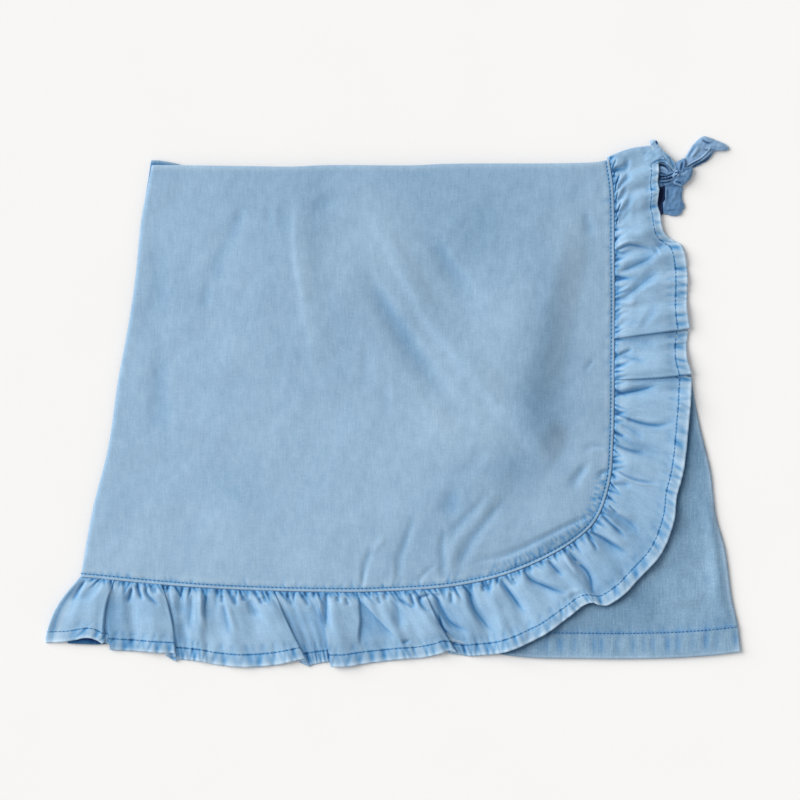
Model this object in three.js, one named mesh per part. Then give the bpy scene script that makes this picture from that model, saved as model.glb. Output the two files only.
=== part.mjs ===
// A girl's skort laid flat: plain shorts under a wrap panel whose curved edge carries
// one long gathered ruffle, tied at the waist with a fabric knot.
//
// Millimetres. +X is the wearer's left as it lies front up, +Y runs up to the waist, +Z up
// off the surface. The origin is the centre of the underside of the box round the garment.
//
// Every sheet of cloth is a wall built on a middle surface: a grid of points whose rows run
// down (or along the seam) and whose columns run to the right (or out to the hem).

import * as THREE from 'three';

// ---- driving sizes -------------------------------------------------------------------

const CLOTH = 1.0; // one layer of cloth
const HALF = CLOTH / 2;
const GAP = 0.3; // clear space between neighbouring pieces
const LAYER = CLOTH + GAP;
const TURNED = 1.4; // cloth with its edge turned in and stitched
const LEG_HEM = 17.5; // turned hem of the shorts
const EDGE_TURN = 4; // turned edge of the wrap panel
const CENTRE_X = 8; // centre front and centre back seams
const CROTCH_Y = -100;

const BACK_LEVEL = HALF; // middle of the back shorts, lying on the surface
const FRONT_LEVEL = BACK_LEVEL + LAYER;
const WRAP_LEVEL = FRONT_LEVEL + LAYER;
const RUFFLE_LEVEL = WRAP_LEVEL + 0.5; // clears the turned leg hems under it
const PLEAT_STEP = 1.5; // height from one layer of a pleat to the next
const PUFF = 2.2; // how far the wrap panel stands off what it lies on, in its middle

const DENIM = '#95b6d2';
const DENIM_UNDER = '#7f9fbb';
const DENIM_TIE = '#86a6c4';

// ---- curves --------------------------------------------------------------------------

/** A smooth flat curve through a few points [x, y]. */
function flatCurve(points) {
  const corners = points.map(([x, y]) => new THREE.Vector3(x, y, 0));
  return new THREE.CatmullRomCurve3(corners, false, 'centripetal');
}

/** The part of a curve between two fractions of its length, as a function of 0 to 1. */
function stretch(curve, from, to) {
  return (t) => curve.getPointAt(THREE.MathUtils.lerp(from, to, t));
}

// The seam that joins the ruffle to the wrap, from the waist down its side, round the
// corner and along the foot to the left side.
const SEAM = flatCurve([
  [140.7, 156.5],
  [143.3, 137],
  [144, 90],
  [144, 27],
  [143.2, -26],
  [140.8, -53],
  [132, -77],
  [116, -92],
  [80.5, -110],
  [43, -119.5],
  [-7, -123.4],
  [-65, -123.4],
  [-131, -120.5],
  [-202.5, -114],
]);
SEAM.arcLengthDivisions = 2000;
const SEAM_LENGTH = SEAM.getLength();
const SEAM_CORNER = 236 / SEAM_LENGTH; // fraction of the seam at the middle of its corner

const WRAP_TOP = flatCurve([
  [-156.3, 153],
  [-142, 152.9],
  [-90, 152.2],
  [-66, 151.9],
  [-41, 152.9],
  [12, 152.7],
  [35, 153.7],
  [130, 154.8],
  [140.7, 156.5],
]);

const LEFT_SIDE = flatCurve([
  [-156.3, 153],
  [-159, 139],
  [-163, 118],
  [-167, 79],
  [-172, 46],
  [-178, 14],
  [-184.5, -30],
  [-194.5, -70],
  [-202.5, -114],
]);

// ---- walls ---------------------------------------------------------------------------

/** Unit normals of a grid of points, stretched at sharp folds so the wall keeps its width. */
function gridNormals(grid) {
  const rows = grid.length - 1;
  const columns = grid[0].length - 1;
  const faces = [];
  for (let i = 0; i < rows; i += 1) {
    faces.push([]);
    for (let j = 0; j < columns; j += 1) {
      const down = grid[i + 1][j + 1].clone().sub(grid[i][j]);
      const across = grid[i][j + 1].clone().sub(grid[i + 1][j]);
      faces[i].push(down.cross(across).normalize());
    }
  }
  return grid.map((line, i) =>
    line.map((_, j) => {
      const around = [];
      for (const a of [i - 1, i]) {
        for (const b of [j - 1, j]) {
          if (a >= 0 && a < rows && b >= 0 && b < columns) {
            around.push(faces[a][b]);
          }
        }
      }
      const sum = new THREE.Vector3();
      around.forEach((face) => sum.add(face));
      const normal = sum.clone().normalize();
      const spread = Math.max(0.7, sum.length() / around.length);
      return normal.divideScalar(spread);
    }),
  );
}

/**
 * A closed wall round a middle surface.
 * below(i, j) and above(i, j) give how far its two faces lie from the middle.
 */
function wall(grid, below = () => HALF, above = () => HALF) {
  const rows = grid.length;
  const columns = grid[0].length;
  const normals = gridNormals(grid);
  const places = [];
  for (const side of [1, -1]) {
    for (let i = 0; i < rows; i += 1) {
      for (let j = 0; j < columns; j += 1) {
        const reach = side > 0 ? above(i, j) : -below(i, j);
        const place = grid[i][j].clone().addScaledVector(normals[i][j], reach);
        places.push(place.x, place.y, Math.max(place.z, 0));
      }
    }
  }
  const upper = (i, j) => i * columns + j;
  const lower = (i, j) => rows * columns + i * columns + j;
  const faces = [];
  const quad = (a, b, c, d) => faces.push(a, b, c, a, c, d);
  for (let i = 0; i + 1 < rows; i += 1) {
    for (let j = 0; j + 1 < columns; j += 1) {
      quad(upper(i, j), upper(i + 1, j), upper(i + 1, j + 1), upper(i, j + 1));
      quad(lower(i, j), lower(i, j + 1), lower(i + 1, j + 1), lower(i + 1, j));
    }
    const end = columns - 1;
    quad(upper(i + 1, 0), upper(i, 0), lower(i, 0), lower(i + 1, 0));
    quad(upper(i, end), upper(i + 1, end), lower(i + 1, end), lower(i, end));
  }
  for (let j = 0; j + 1 < columns; j += 1) {
    const end = rows - 1;
    quad(upper(0, j), upper(0, j + 1), lower(0, j + 1), lower(0, j));
    quad(upper(end, j + 1), upper(end, j), lower(end, j), lower(end, j + 1));
  }
  const geometry = new THREE.BufferGeometry();
  geometry.setAttribute('position', new THREE.Float32BufferAttribute(places, 3));
  geometry.setIndex(faces);
  return geometry;
}

/**
 * A four-sided panel filled between its edges (a Coons patch).
 * left and right run down it, top and bottom run across it; down and across list the
 * fractions where its rows and columns lie.
 */
function panelGrid({ left, right, top, bottom }, down, across, heightAt) {
  return down.map((t) =>
    across.map((u) => {
      const place = left(t).multiplyScalar(1 - u);
      place.addScaledVector(right(t), u);
      place.addScaledVector(top(u), 1 - t);
      place.addScaledVector(bottom(u), t);
      place.addScaledVector(top(0), -(1 - t) * (1 - u));
      place.addScaledVector(top(1), -(1 - t) * u);
      place.addScaledVector(bottom(0), -t * (1 - u));
      place.addScaledVector(bottom(1), -t * u);
      place.z = heightAt(place.x, place.y, t, u);
      return place;
    }),
  );
}

/** Even fractions from 0 to 1, with one more close to each end for a turned edge. */
function fractions(steps, atStart, atEnd) {
  const inner = [];
  for (let k = 1; k < steps; k += 1) {
    inner.push(k / steps);
  }
  return [0, ...(atStart ? [atStart] : []), ...inner, ...(atEnd ? [1 - atEnd] : []), 1];
}

/** 0 below the start, 1 past the end, smooth between. */
function ease(value, start, end) {
  return THREE.MathUtils.smoothstep(value, start, end);
}

// ---- wrap panel ----------------------------------------------------------------------

// Its largest creases: a ridge (height above 0) or a trough (below 0) between two points.
const CREASES = [
  { from: [-64, 135], to: [-50, 44], width: 12, height: 2.4 },
  { from: [-8, 88], to: [57, 4], width: 12, height: 2.8 },
  { from: [6, 102], to: [40, 52], width: 15, height: -1.2 },
  { from: [-22, 62], to: [14, 0], width: 16, height: -1.2 },
  { from: [126, 126], to: [105, 45], width: 16, height: -2.0 },
  { from: [105, 45], to: [86, -14], width: 18, height: -2.2 },
  { from: [69, -61], to: [26, -108], width: 10, height: -1.2 },
  { from: [132, -72], to: [60, -103], width: 9, height: 1.4 },
];

/** Distance in the plane from a point to the line between two others. */
function distanceToLine(x, y, [ax, ay], [bx, by]) {
  const length = Math.hypot(bx - ax, by - ay);
  const along = ((x - ax) * (bx - ax) + (y - ay) * (by - ay)) / length;
  const kept = THREE.MathUtils.clamp(along, 0, length);
  const nearX = ax + ((bx - ax) * kept) / length;
  const nearY = ay + ((by - ay) * kept) / length;
  return Math.hypot(x - nearX, y - nearY);
}

/** Height of the wrap panel's middle surface: a gentle swell with creases, flat at its edges. */
function wrapHeight(x, y, t, u) {
  const inside = ease(Math.min(t, 1 - t, u, 1 - u), 0, 0.16);
  let height = PUFF;
  for (const crease of CREASES) {
    const off = distanceToLine(x, y, crease.from, crease.to) / crease.width;
    height += crease.height * Math.exp(-off * off);
  }
  return WRAP_LEVEL + inside * Math.max(0, height);
}

function wrapPanel() {
  const corner = SEAM_CORNER;
  const edges = {
    left: stretch(LEFT_SIDE, 0, 1),
    right: stretch(SEAM, 0, corner),
    top: stretch(WRAP_TOP, 0, 1),
    bottom: stretch(SEAM, 1, corner),
  };
  const down = fractions(18, EDGE_TURN / 270, EDGE_TURN / 250);
  const across = fractions(22, EDGE_TURN / 300, EDGE_TURN / 320);
  const grid = panelGrid(edges, down, across, wrapHeight);
  const turned = (i, j) => {
    const byTop = i <= 1;
    const byFoot = i >= down.length - 2;
    const bySide = j <= 1 || j >= across.length - 2;
    return byTop || byFoot || bySide ? TURNED - HALF : HALF;
  };
  return wall(grid, () => HALF, turned);
}

// ---- ruffle --------------------------------------------------------------------------

// One row for each fold line of the ruffle, from the waist to the left side.
//   seam   where it leaves the seam, measured along it
//   x, y   where it reaches the hem
//   crown  how high it stands a third of the way out, and rim, at the hem
//   pleat  how far the cloth folds back under itself at the hem: more than 0 where the
//          stretch before the line lies on top, less than 0 where the stretch after it does
const FOLD_COLUMNS = ['seam', 'x', 'y', 'crown', 'rim', 'pleat'];
const FOLDS = [
  [0, 169.5, 164.5, 1.2, 0.6, 0],
  [10, 172, 155, 0.2, 0.3, 0],
  [18, 172, 148.5, 2.4, 1.0, 0],
  [24, 172, 143, 0.4, 0.4, 0],
  [31, 172, 136.5, 2.2, 1.0, 0],
  [40, 172, 127, 0.3, 0.3, 0],
  [57, 177.5, 107.5, 3.0, 2.4, 0],
  [61, 182.5, 104, 0.1, 0.2, 0],
  [67, 188.5, 98.5, 2.2, 1.4, 0],
  [74, 190.5, 88.5, 0.6, 0.8, 0],
  [83, 191, 79.5, 2.0, 1.6, 0],
  [92, 191, 70, 0.5, 0.8, 0],
  [104, 190.5, 60.5, 1.8, 1.8, 0],
  [115.5, 192.5, 47, 0, 0, 4],
  [124, 191, 38, 0.5, 0.5, 0],
  [133, 191, 28, 2.0, 1.6, 0],
  [142, 193.5, 16.5, 0, 0, 4],
  [151, 193.5, 6.5, 0.3, 0.6, 0],
  [158, 193, -2, 1.8, 1.6, 0],
  [166, 192, -13, 0.3, 0.4, 0],
  [170, 191.5, -19, 2.4, 1.4, 0],
  [182, 189, -42, 0.4, 0.8, 0],
  [191, 187, -51, 2.0, 1.8, 0],
  [202, 184, -62, 0.6, 0.8, 0],
  [213, 182.5, -76, 2.2, 1.6, 0],
  [226, 176.5, -94, 0.2, 0.8, 0],
  [236, 169.5, -104.5, 2.6, 1.8, 0],
  [242, 160, -114.5, 0.2, 0.4, 0],
  [251, 150, -125, 2.4, 1.6, 0],
  [261, 138.5, -132.5, 0, 0.1, 0],
  [270, 130.5, -130.5, 2.4, 1.4, 0],
  [277, 124, -132, 0.6, 0.8, 0],
  [284, 117.5, -137, 2.4, 1.4, 0],
  [292, 110.5, -142.5, 0.1, 0.4, 0],
  [299, 101, -149.5, 2.2, 1.6, 0],
  [308, 90, -155.5, 0.2, 0.5, 0],
  [318, 79, -160.5, 2.4, 1.8, 0],
  [331, 66, -164, 0.1, 0.4, 0],
  [339, 58.5, -164.5, 2.4, 1.4, 0],
  [350, 49.5, -165, 0.6, 0.2, 0],
  [360, 40, -162, 0, 0, -4],
  [370, 31, -164, 2.2, 1.8, 0],
  [382, 18, -166.5, 0.4, 0.6, 0],
  [392, 8.5, -167, 2.0, 1.6, 0],
  [403, -4, -168.5, 0.2, 0.4, 0],
  [412, -17.5, -170, 2.0, 1.6, 0],
  [429, -40, -172, 0, 0, 5],
  [443, -49, -169.5, 0.2, 0.2, 0],
  [457, -57, -168, 0, 0, -5],
  [466, -66.5, -169, 2.0, 1.4, 0],
  [476, -76, -171, 0.4, 0.6, 0],
  [489, -97, -172.4, 2.0, 1.6, 0],
  [500, -116, -170, 0.3, 0.8, 0],
  [507, -123, -168.5, 2.4, 1.4, 0],
  [517, -131, -167.5, 0.3, 0.3, 0],
  [530, -143.5, -166, 0, 0, -4],
  [541, -156.5, -162.5, 2.2, 1.4, 0],
  [550, -168.5, -162, 0.3, 0.6, 0],
  [562, -187, -158, 0, 0, -4],
  [571, -203, -155, 2.2, 2.2, 0],
  [582, -226, -156.5, 0.8, 0.5, 0],
].map((row) => Object.fromEntries(FOLD_COLUMNS.map((name, k) => [name, row[k]])));

// A pleat seen end on, from the layer that lies on top to the one at the bottom:
// along in pleat depths, round in bend radii, up in layers.
const PLEAT_PROFILE = [
  { along: 0, round: 0, up: 2 },
  { along: 0, round: 1, up: 1.5 },
  { along: 0, round: 0, up: 1 },
  { along: -1, round: 0, up: 1 },
  { along: -1, round: -1, up: 0.5 },
  { along: -1, round: 0, up: 0 },
];
const PLEAT_PITCH = 0.9; // space between a pleat's lines where it starts at the seam
const OUTWARD = [0, 0.1, 0.26, 0.5, 0.86, 1]; // fractions from the seam out to the hem
const TURNED_FROM = 0.8; // the narrow hem starts here

/** One line of the ruffle's grid: where it starts and ends and how it rises. */
function ruffleLine(seam, hemX, hemY, rise, shift = () => 0) {
  const along = THREE.MathUtils.clamp(seam / FOLDS.at(-1).seam, 0, 1);
  const start = SEAM.getPointAt(along);
  const tangent = SEAM.getTangentAt(along);
  const outward = new THREE.Vector3(-tangent.y, tangent.x, 0);
  start.addScaledVector(outward, GAP + 0.1);
  const hem = new THREE.Vector3(hemX, hemY, 0);
  return OUTWARD.map((v) => {
    const place = start.clone().lerp(hem, v);
    place.addScaledVector(tangent, shift(v));
    place.z = THREE.MathUtils.lerp(WRAP_LEVEL + HALF, RUFFLE_LEVEL, ease(v, 0, 0.26)) + rise(v);
    return place;
  });
}

/** The rise of a plain fold: nothing at the seam, its crown a third of the way out, its rim at the hem. */
function foldRise(crown, rim) {
  return (v) => ease(v, 0, 0.26) * THREE.MathUtils.lerp(crown, rim, ease(v, 0.26, 1));
}

/** The lines of one pleat, in order along the seam. */
function pleatLines(fold) {
  const onTop = Math.sign(fold.pleat);
  const depth = Math.abs(fold.pleat);
  const profile = onTop > 0 ? PLEAT_PROFILE : [...PLEAT_PROFILE].reverse();
  const middle = (profile.length - 1) / 2;
  return profile.map(({ along, round, up }, k) => {
    const spread = (k - middle) * PLEAT_PITCH;
    const folded = onTop * (along * depth + (round * PLEAT_STEP) / 2);
    const rise = (v) => up * PLEAT_STEP * ease(v, 0, 0.24);
    const shift = (v) => THREE.MathUtils.lerp(spread, folded, ease(v, 0.12, 0.9));
    return { seam: fold.seam, x: fold.x, y: fold.y, rise, shift };
  });
}

/** Height that a row's cloth has before (-1) or after (+1) its fold line. */
function shoulder(fold, side) {
  if (fold.pleat === 0) {
    return { crown: fold.crown, rim: fold.rim };
  }
  const upper = Math.sign(fold.pleat) === -side;
  const height = upper ? 2 * PLEAT_STEP : 0;
  return { crown: height, rim: height };
}

function ruffleGrid() {
  const grid = [];
  FOLDS.forEach((fold, k) => {
    if (fold.pleat === 0) {
      grid.push(ruffleLine(fold.seam, fold.x, fold.y, foldRise(fold.crown, fold.rim)));
    } else {
      for (const line of pleatLines(fold)) {
        grid.push(ruffleLine(line.seam, line.x, line.y, line.rise, line.shift));
      }
    }
    const next = FOLDS[k + 1];
    if (next) {
      const here = shoulder(fold, 1);
      const there = shoulder(next, -1);
      const crown = (here.crown + there.crown) / 2;
      const rim = (here.rim + there.rim) / 2;
      const seam = (fold.seam + next.seam) / 2;
      const rise = foldRise(crown, rim);
      grid.push(ruffleLine(seam, (fold.x + next.x) / 2, (fold.y + next.y) / 2, rise));
    }
  });
  return grid;
}

function ruffle() {
  const turned = (i, j) => (OUTWARD[j] > TURNED_FROM ? HALF + 0.1 : HALF);
  return wall(ruffleGrid(), () => HALF, turned);
}

// ---- shorts --------------------------------------------------------------------------

const BAND_FOOT = 128; // the backs start at the waistband's lower edge, the fronts at the waist
const INSEAM_Y = -158; // where the inseam meets the hem
const INSEAM_SPREAD = 5; // how far the leg opens from the centre there

/** The centre seam of a leg down to the crotch, then its inseam, opening out to the hem. */
function centreSeam(seamSide, top) {
  return (t) => {
    const y = THREE.MathUtils.lerp(top, INSEAM_Y, t);
    const opening = ease(-y, -CROTCH_Y, -INSEAM_Y) * (INSEAM_SPREAD - GAP / 2);
    return new THREE.Vector3(CENTRE_X + seamSide * (GAP / 2 + opening), y, 0);
  };
}

/** The four edges of a leg: seamSide is -1 where it lies left of its centre seam, 1 where right. */
function legEdges(outer, hem, seamSide) {
  const top = outer[0][1];
  const side = flatCurve([...outer, hem[0]]);
  const foot = flatCurve([...hem, [CENTRE_X + seamSide * INSEAM_SPREAD, INSEAM_Y]]);
  const waist = flatCurve([outer[0], [CENTRE_X + (seamSide * GAP) / 2, top]]);
  if (seamSide < 0) {
    return {
      left: stretch(side, 0, 1),
      right: centreSeam(seamSide, top),
      top: stretch(waist, 0, 1),
      bottom: stretch(foot, 0, 1),
    };
  }
  return {
    left: centreSeam(seamSide, top),
    right: stretch(side, 0, 1),
    top: stretch(waist, 1, 0),
    bottom: stretch(foot, 1, 0),
  };
}

const LEFT_OUTER = [
  [-155, 150],
  [-159.5, BAND_FOOT],
  [-165.5, 79],
  [-170.5, 46],
  [-176.5, 14],
  [-183, -30],
  [-193, -70],
  [-201, -114],
];
const LEFT_HEM = [
  [-213, -157.3],
  [-189, -157.8],
  [-150, -160],
  [-60, -162],
];
const RIGHT_OUTER = [
  [168.2, 150],
  [171.5, BAND_FOOT],
  [174, 108],
  [179, 85],
  [186.2, 59],
  [192, 32],
  [194.6, 10.5],
  [199.8, -18],
  [206.6, -46.5],
  [210, -75],
  [214, -97],
  [220.4, -129],
];
const RIGHT_HEM = [
  [226.1, -162.4],
  [208, -164.6],
  [183, -166.3],
  [125, -166.8],
  [89, -166.1],
  [69, -163.7],
];

/** A leg's wall: flat on the surface for a back, lying on it for a front, with a turned hem. */
function leg(edges, level, rows, columns, swell) {
  const down = fractions(rows, 0, LEG_HEM / 300);
  const across = fractions(columns);
  const heightAt = (x, y, t, u) => level + swell(x, y, t, u);
  const grid = panelGrid(edges, down, across, heightAt);
  const isHem = (i) => i >= down.length - 2;
  const above = (i) => (level > BACK_LEVEL && isHem(i) ? TURNED - HALF : HALF);
  return wall(grid, () => HALF, above);
}

const NO_SWELL = () => 0;

/** The part of the right leg that shows swells gently beside its side seam. */
function sideSwell(x, y, t, u) {
  const rise = ease(-y, 60, 120) * ease(u, 0.72, 0.86) * (1 - ease(u, 0.9, 1));
  return 1.2 * rise * (1 - ease(t, 0.9, 1));
}

/** The back waistband: a strip that lies on the surface and stands a little above the wrap's edge. */
function waistband() {
  const upper = flatCurve([
    [-156.7, 156.7],
    [-150, 156.2],
    [-141.5, 154.6],
    [-128, 151.4],
    [-90, 150.5],
    [168, 150.5],
  ]);
  const lower = flatCurve([
    [-161, BAND_FOOT + GAP],
    [171.5, BAND_FOOT + GAP],
  ]);
  const edges = {
    left: stretch(flatCurve([[-156.7, 156.7], [-161, BAND_FOOT + GAP]]), 0, 1),
    right: stretch(flatCurve([[168, 150.5], [171.5, BAND_FOOT + GAP]]), 0, 1),
    top: stretch(upper, 0, 1),
    bottom: stretch(lower, 0, 1),
  };
  return wall(panelGrid(edges, fractions(3), fractions(20), () => BACK_LEVEL));
}

// ---- ties ----------------------------------------------------------------------------

const STRAP = 1.8; // a turned strap, pressed flat: two layers of cloth

/**
 * A strap through sections. Each row has the two edges of the strap at one place and the
 * height of its middle; cup lifts the edges (above 0) or the middle (below 0).
 */
function strap(sections, columns, steps) {
  const edgeCurve = (names) =>
    new THREE.CatmullRomCurve3(
      sections.map((row) => new THREE.Vector3(row[names[0]], row[names[1]], row.z)),
      false,
      'centripetal',
    );
  const left = edgeCurve(['ax', 'ay']);
  const right = edgeCurve(['bx', 'by']);
  const cups = sections.map((row) => row.cup);
  const grid = [];
  for (let k = 0; k <= steps; k += 1) {
    const t = k / steps;
    const at = t * (sections.length - 1);
    const low = Math.min(Math.floor(at), sections.length - 2);
    const cup = THREE.MathUtils.lerp(cups[low], cups[low + 1], at - low);
    const line = [];
    for (let c = 0; c <= columns; c += 1) {
      const u = c / columns;
      const place = left.getPoint(t).lerp(right.getPoint(t), u);
      place.z += cup * Math.pow(2 * u - 1, 2);
      line.push(place);
    }
    grid.push(line);
  }
  return wall(grid, () => STRAP / 2, () => STRAP / 2);
}

/** A wad of gathered cloth: a flattened ball, standing on 0, with creases from end to end. */
function wad({ radii, creases, depth, lean }) {
  const geometry = new THREE.SphereGeometry(1, 18, 10);
  const places = geometry.getAttribute('position');
  for (let k = 0; k < places.count; k += 1) {
    const x = places.getX(k);
    const y = places.getY(k);
    const z = places.getZ(k);
    const around = Math.atan2(z, x);
    const ripple = 1 + depth * Math.cos(creases * around + 1.3) * (1 - y * y);
    places.setXYZ(k, x * radii[0] * ripple + lean * y, y * radii[1], z * radii[2] * ripple);
  }
  geometry.computeBoundingBox();
  geometry.translate(0, 0, -geometry.boundingBox.min.z);
  return geometry;
}

const KNOT_HEIGHT = 9;

const STRAP_WRAP = [
  { ax: 169.7, ay: 165, bx: 172.7, by: 155.2, z: 5.2, cup: 0.3 },
  { ax: 176.4, ay: 160.7, bx: 177.1, by: 150.3, z: 5.8, cup: 0.6 },
  { ax: 181.4, ay: 156, bx: 178.6, by: 150.6, z: 6.2, cup: 0.8 },
];

const STRAP_SIDE = [
  { ax: 169.5, ay: 151.4, bx: 172.8, by: 139, z: 1.3, cup: 0 },
  { ax: 173.5, ay: 151.5, bx: 174.2, by: 139.2, z: 1.6, cup: 0 },
  { ax: 177.9, ay: 148.6, bx: 178.1, by: 140.8, z: 2.6, cup: 0.4 },
];

const TAIL_UPPER = [
  { ax: 189.6, ay: 158.2, bx: 196.4, by: 153.4, z: 5.2, cup: 0.8 },
  { ax: 192, ay: 162, bx: 199.4, by: 155, z: 5.6, cup: 1.6 },
  { ax: 196.4, ay: 167.4, bx: 204.2, by: 157.8, z: 5.4, cup: 2.2 },
  { ax: 201, ay: 171.6, bx: 209.4, by: 162, z: 4.6, cup: 2.2 },
  { ax: 204.6, ay: 172.4, bx: 218.4, by: 163.6, z: 3.4, cup: 1.2 },
];

const TAIL_LOWER = [
  { ax: 179, ay: 138.6, bx: 187.4, by: 138.6, z: 3.4, cup: 0.6 },
  { ax: 178, ay: 132.6, bx: 188.1, by: 132.6, z: 3.2, cup: 0.4 },
  { ax: 176.8, ay: 126.8, bx: 188.8, by: 126.6, z: 2.6, cup: 0.2 },
  { ax: 176, ay: 122.8, bx: 187, by: 121.4, z: 2, cup: 0.1 },
];

const STRAP_CORNER = [
  { ax: 166.9, ay: 169.3, bx: 171, by: 169.5, z: 4.6, cup: 0 },
  { ax: 168, ay: 167.2, bx: 171.6, by: 167, z: 4.8, cup: 0 },
];

// ---- the garment ---------------------------------------------------------------------

const skort = new THREE.Group();

function add(name, geometry, colour, place = [0, 0, 0], turn = 0) {
  const material = new THREE.MeshStandardMaterial({ color: colour, roughness: 0.92, metalness: 0 });
  const mesh = new THREE.Mesh(geometry, material);
  mesh.name = name;
  mesh.position.set(...place);
  mesh.rotation.z = turn;
  skort.add(mesh);
}

add('waistband_back', waistband(), DENIM_UNDER);
const backLeft = legEdges(LEFT_OUTER.slice(1), LEFT_HEM, -1);
const backRight = legEdges(RIGHT_OUTER.slice(1), RIGHT_HEM, 1);
const frontLeft = legEdges(LEFT_OUTER, LEFT_HEM, -1);
const frontRight = legEdges(RIGHT_OUTER, RIGHT_HEM, 1);
add('shorts_back_left', leg(backLeft, BACK_LEVEL, 7, 4, NO_SWELL), DENIM_UNDER);
add('shorts_back_right', leg(backRight, BACK_LEVEL, 9, 4, NO_SWELL), DENIM_UNDER);
add('shorts_front_left', leg(frontLeft, FRONT_LEVEL, 7, 4, NO_SWELL), DENIM_UNDER);
add('shorts_front_right', leg(frontRight, FRONT_LEVEL, 14, 10, sideSwell), DENIM_UNDER);
add('wrap_panel', wrapPanel(), DENIM);
add('ruffle', ruffle(), DENIM);
add('tie_strap_wrap', strap(STRAP_WRAP, 3, 5), DENIM_TIE);
add('tie_strap_corner', strap(STRAP_CORNER, 2, 2), DENIM_TIE);
add('tie_strap_side', strap(STRAP_SIDE, 3, 5), DENIM_TIE);
add('tie_tail_upper', strap(TAIL_UPPER, 4, 12), DENIM_TIE);
add('tie_tail_lower', strap(TAIL_LOWER, 4, 8), DENIM_TIE);

const knot = wad({ radii: [4.3, 6.1, KNOT_HEIGHT / 2], creases: 7, depth: 0.06, lean: 0.3 });
add('tie_knot', knot, DENIM_TIE, [182.8, 146.6, 0], 0.05);
const band = wad({ radii: [3.7, 7.2, KNOT_HEIGHT / 2.2], creases: 4, depth: 0.04, lean: 0.6 });
add('tie_knot_band', band, DENIM_TIE, [191.5, 147.8, 0], 0);

export default skort;
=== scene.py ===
"""A girl's denim wrap skort laid flat on a pale surface, for Blender 4.5.

Plain shorts lie under a wrap panel. One long gathered ruffle is sewn round the wrap's curved
edge, and a strap at the waist is tied in a small knot. Sizes are in millimetres in the part's
own frame, and become metres when a mesh is made.
"""
import logging
import math
from dataclasses import dataclass
from enum import Enum
from typing import Any, Sequence

import bpy
import numpy as np
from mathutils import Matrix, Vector


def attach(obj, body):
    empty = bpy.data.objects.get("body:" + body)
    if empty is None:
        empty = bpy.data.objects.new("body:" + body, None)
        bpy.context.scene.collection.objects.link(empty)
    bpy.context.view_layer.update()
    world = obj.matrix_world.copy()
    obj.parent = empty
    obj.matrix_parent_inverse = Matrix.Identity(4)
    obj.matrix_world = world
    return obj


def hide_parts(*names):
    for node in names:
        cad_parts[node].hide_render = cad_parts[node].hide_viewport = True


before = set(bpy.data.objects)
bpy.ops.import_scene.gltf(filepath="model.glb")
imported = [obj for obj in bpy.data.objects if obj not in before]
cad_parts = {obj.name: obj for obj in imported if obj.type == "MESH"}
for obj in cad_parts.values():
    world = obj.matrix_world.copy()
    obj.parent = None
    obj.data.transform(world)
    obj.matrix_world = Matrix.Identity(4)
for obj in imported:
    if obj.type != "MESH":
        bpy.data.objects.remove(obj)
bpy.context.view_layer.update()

MM = 0.001
STITCH = 2.65  # pitch of the lockstitches, and of the puckers that they draw
LOG = logging.getLogger("skort")
Array = np.ndarray


# ---- numbers ----


def ease(value: Array, start: float, end: float) -> Array:
    """The cubic 3t^2 - 2t^3, where t goes from 0 at start to 1 at end and no further."""
    t = np.clip((np.asarray(value, float) - start) / (end - start), 0.0, 1.0)
    return t * t * (3.0 - 2.0 * t)


def plateau(value: Array, *ends: float) -> Array:
    """1 between the middle two of four places, eased in from the first and out to the last."""
    return ease(value, *ends[:2]) - ease(value, *ends[2:])


def bell(offset: Array, width: float) -> Array:
    """The Gaussian exp(-(offset / width)^2)."""
    return np.exp(-((offset / width) ** 2))


def unit(vectors: Array) -> Array:
    """Vectors of the last axis brought to length 1."""
    return vectors / np.maximum(np.linalg.norm(vectors, axis=-1, keepdims=True), 1e-9)


def run_of(line: Array) -> Array:
    """Distance along a chain of points to each of them."""
    return np.concatenate([[0.0], np.cumsum(np.linalg.norm(np.diff(line, axis=0), axis=1))])


def rows_of(text: str, width: int) -> Array:
    """Numbers of a text, in rows of the given width."""
    return np.array(text.split(), float).reshape(-1, width)


def points_of(text: str) -> Array:
    """Points of a text of pairs 'x,y'."""
    return rows_of(text.replace(",", " "), 2)


def with_height(flat: Array, z: Array) -> Array:
    """A grid of flat points with its heights as a third coordinate."""
    return np.concatenate([flat, z[..., None]], -1)


def hermite(knots: Array, values: Array, at: Array) -> Array:
    """Smooth values between knots: on each gap, the cubic with the knots' own mean slopes.

    Args:
        knots: increasing places, n of them.
        values: n rows of numbers.
        at: places to work out.

    Returns:
        A row for each place.
    """
    slopes = np.gradient(values, knots, axis=0)
    place = np.clip(at, knots[0], knots[-1])
    low = np.clip(np.searchsorted(knots, place, side="right") - 1, 0, len(knots) - 2)
    gap = (knots[low + 1] - knots[low])[:, None]
    t = (place - knots[low])[:, None] / gap
    made = (2 * t**3 - 3 * t**2 + 1) * values[low] + (t**3 - 2 * t**2 + t) * gap * slopes[low]
    made += (3 * t**2 - 2 * t**3) * values[low + 1] + (t**3 - t**2) * gap * slopes[low + 1]
    return made


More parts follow.
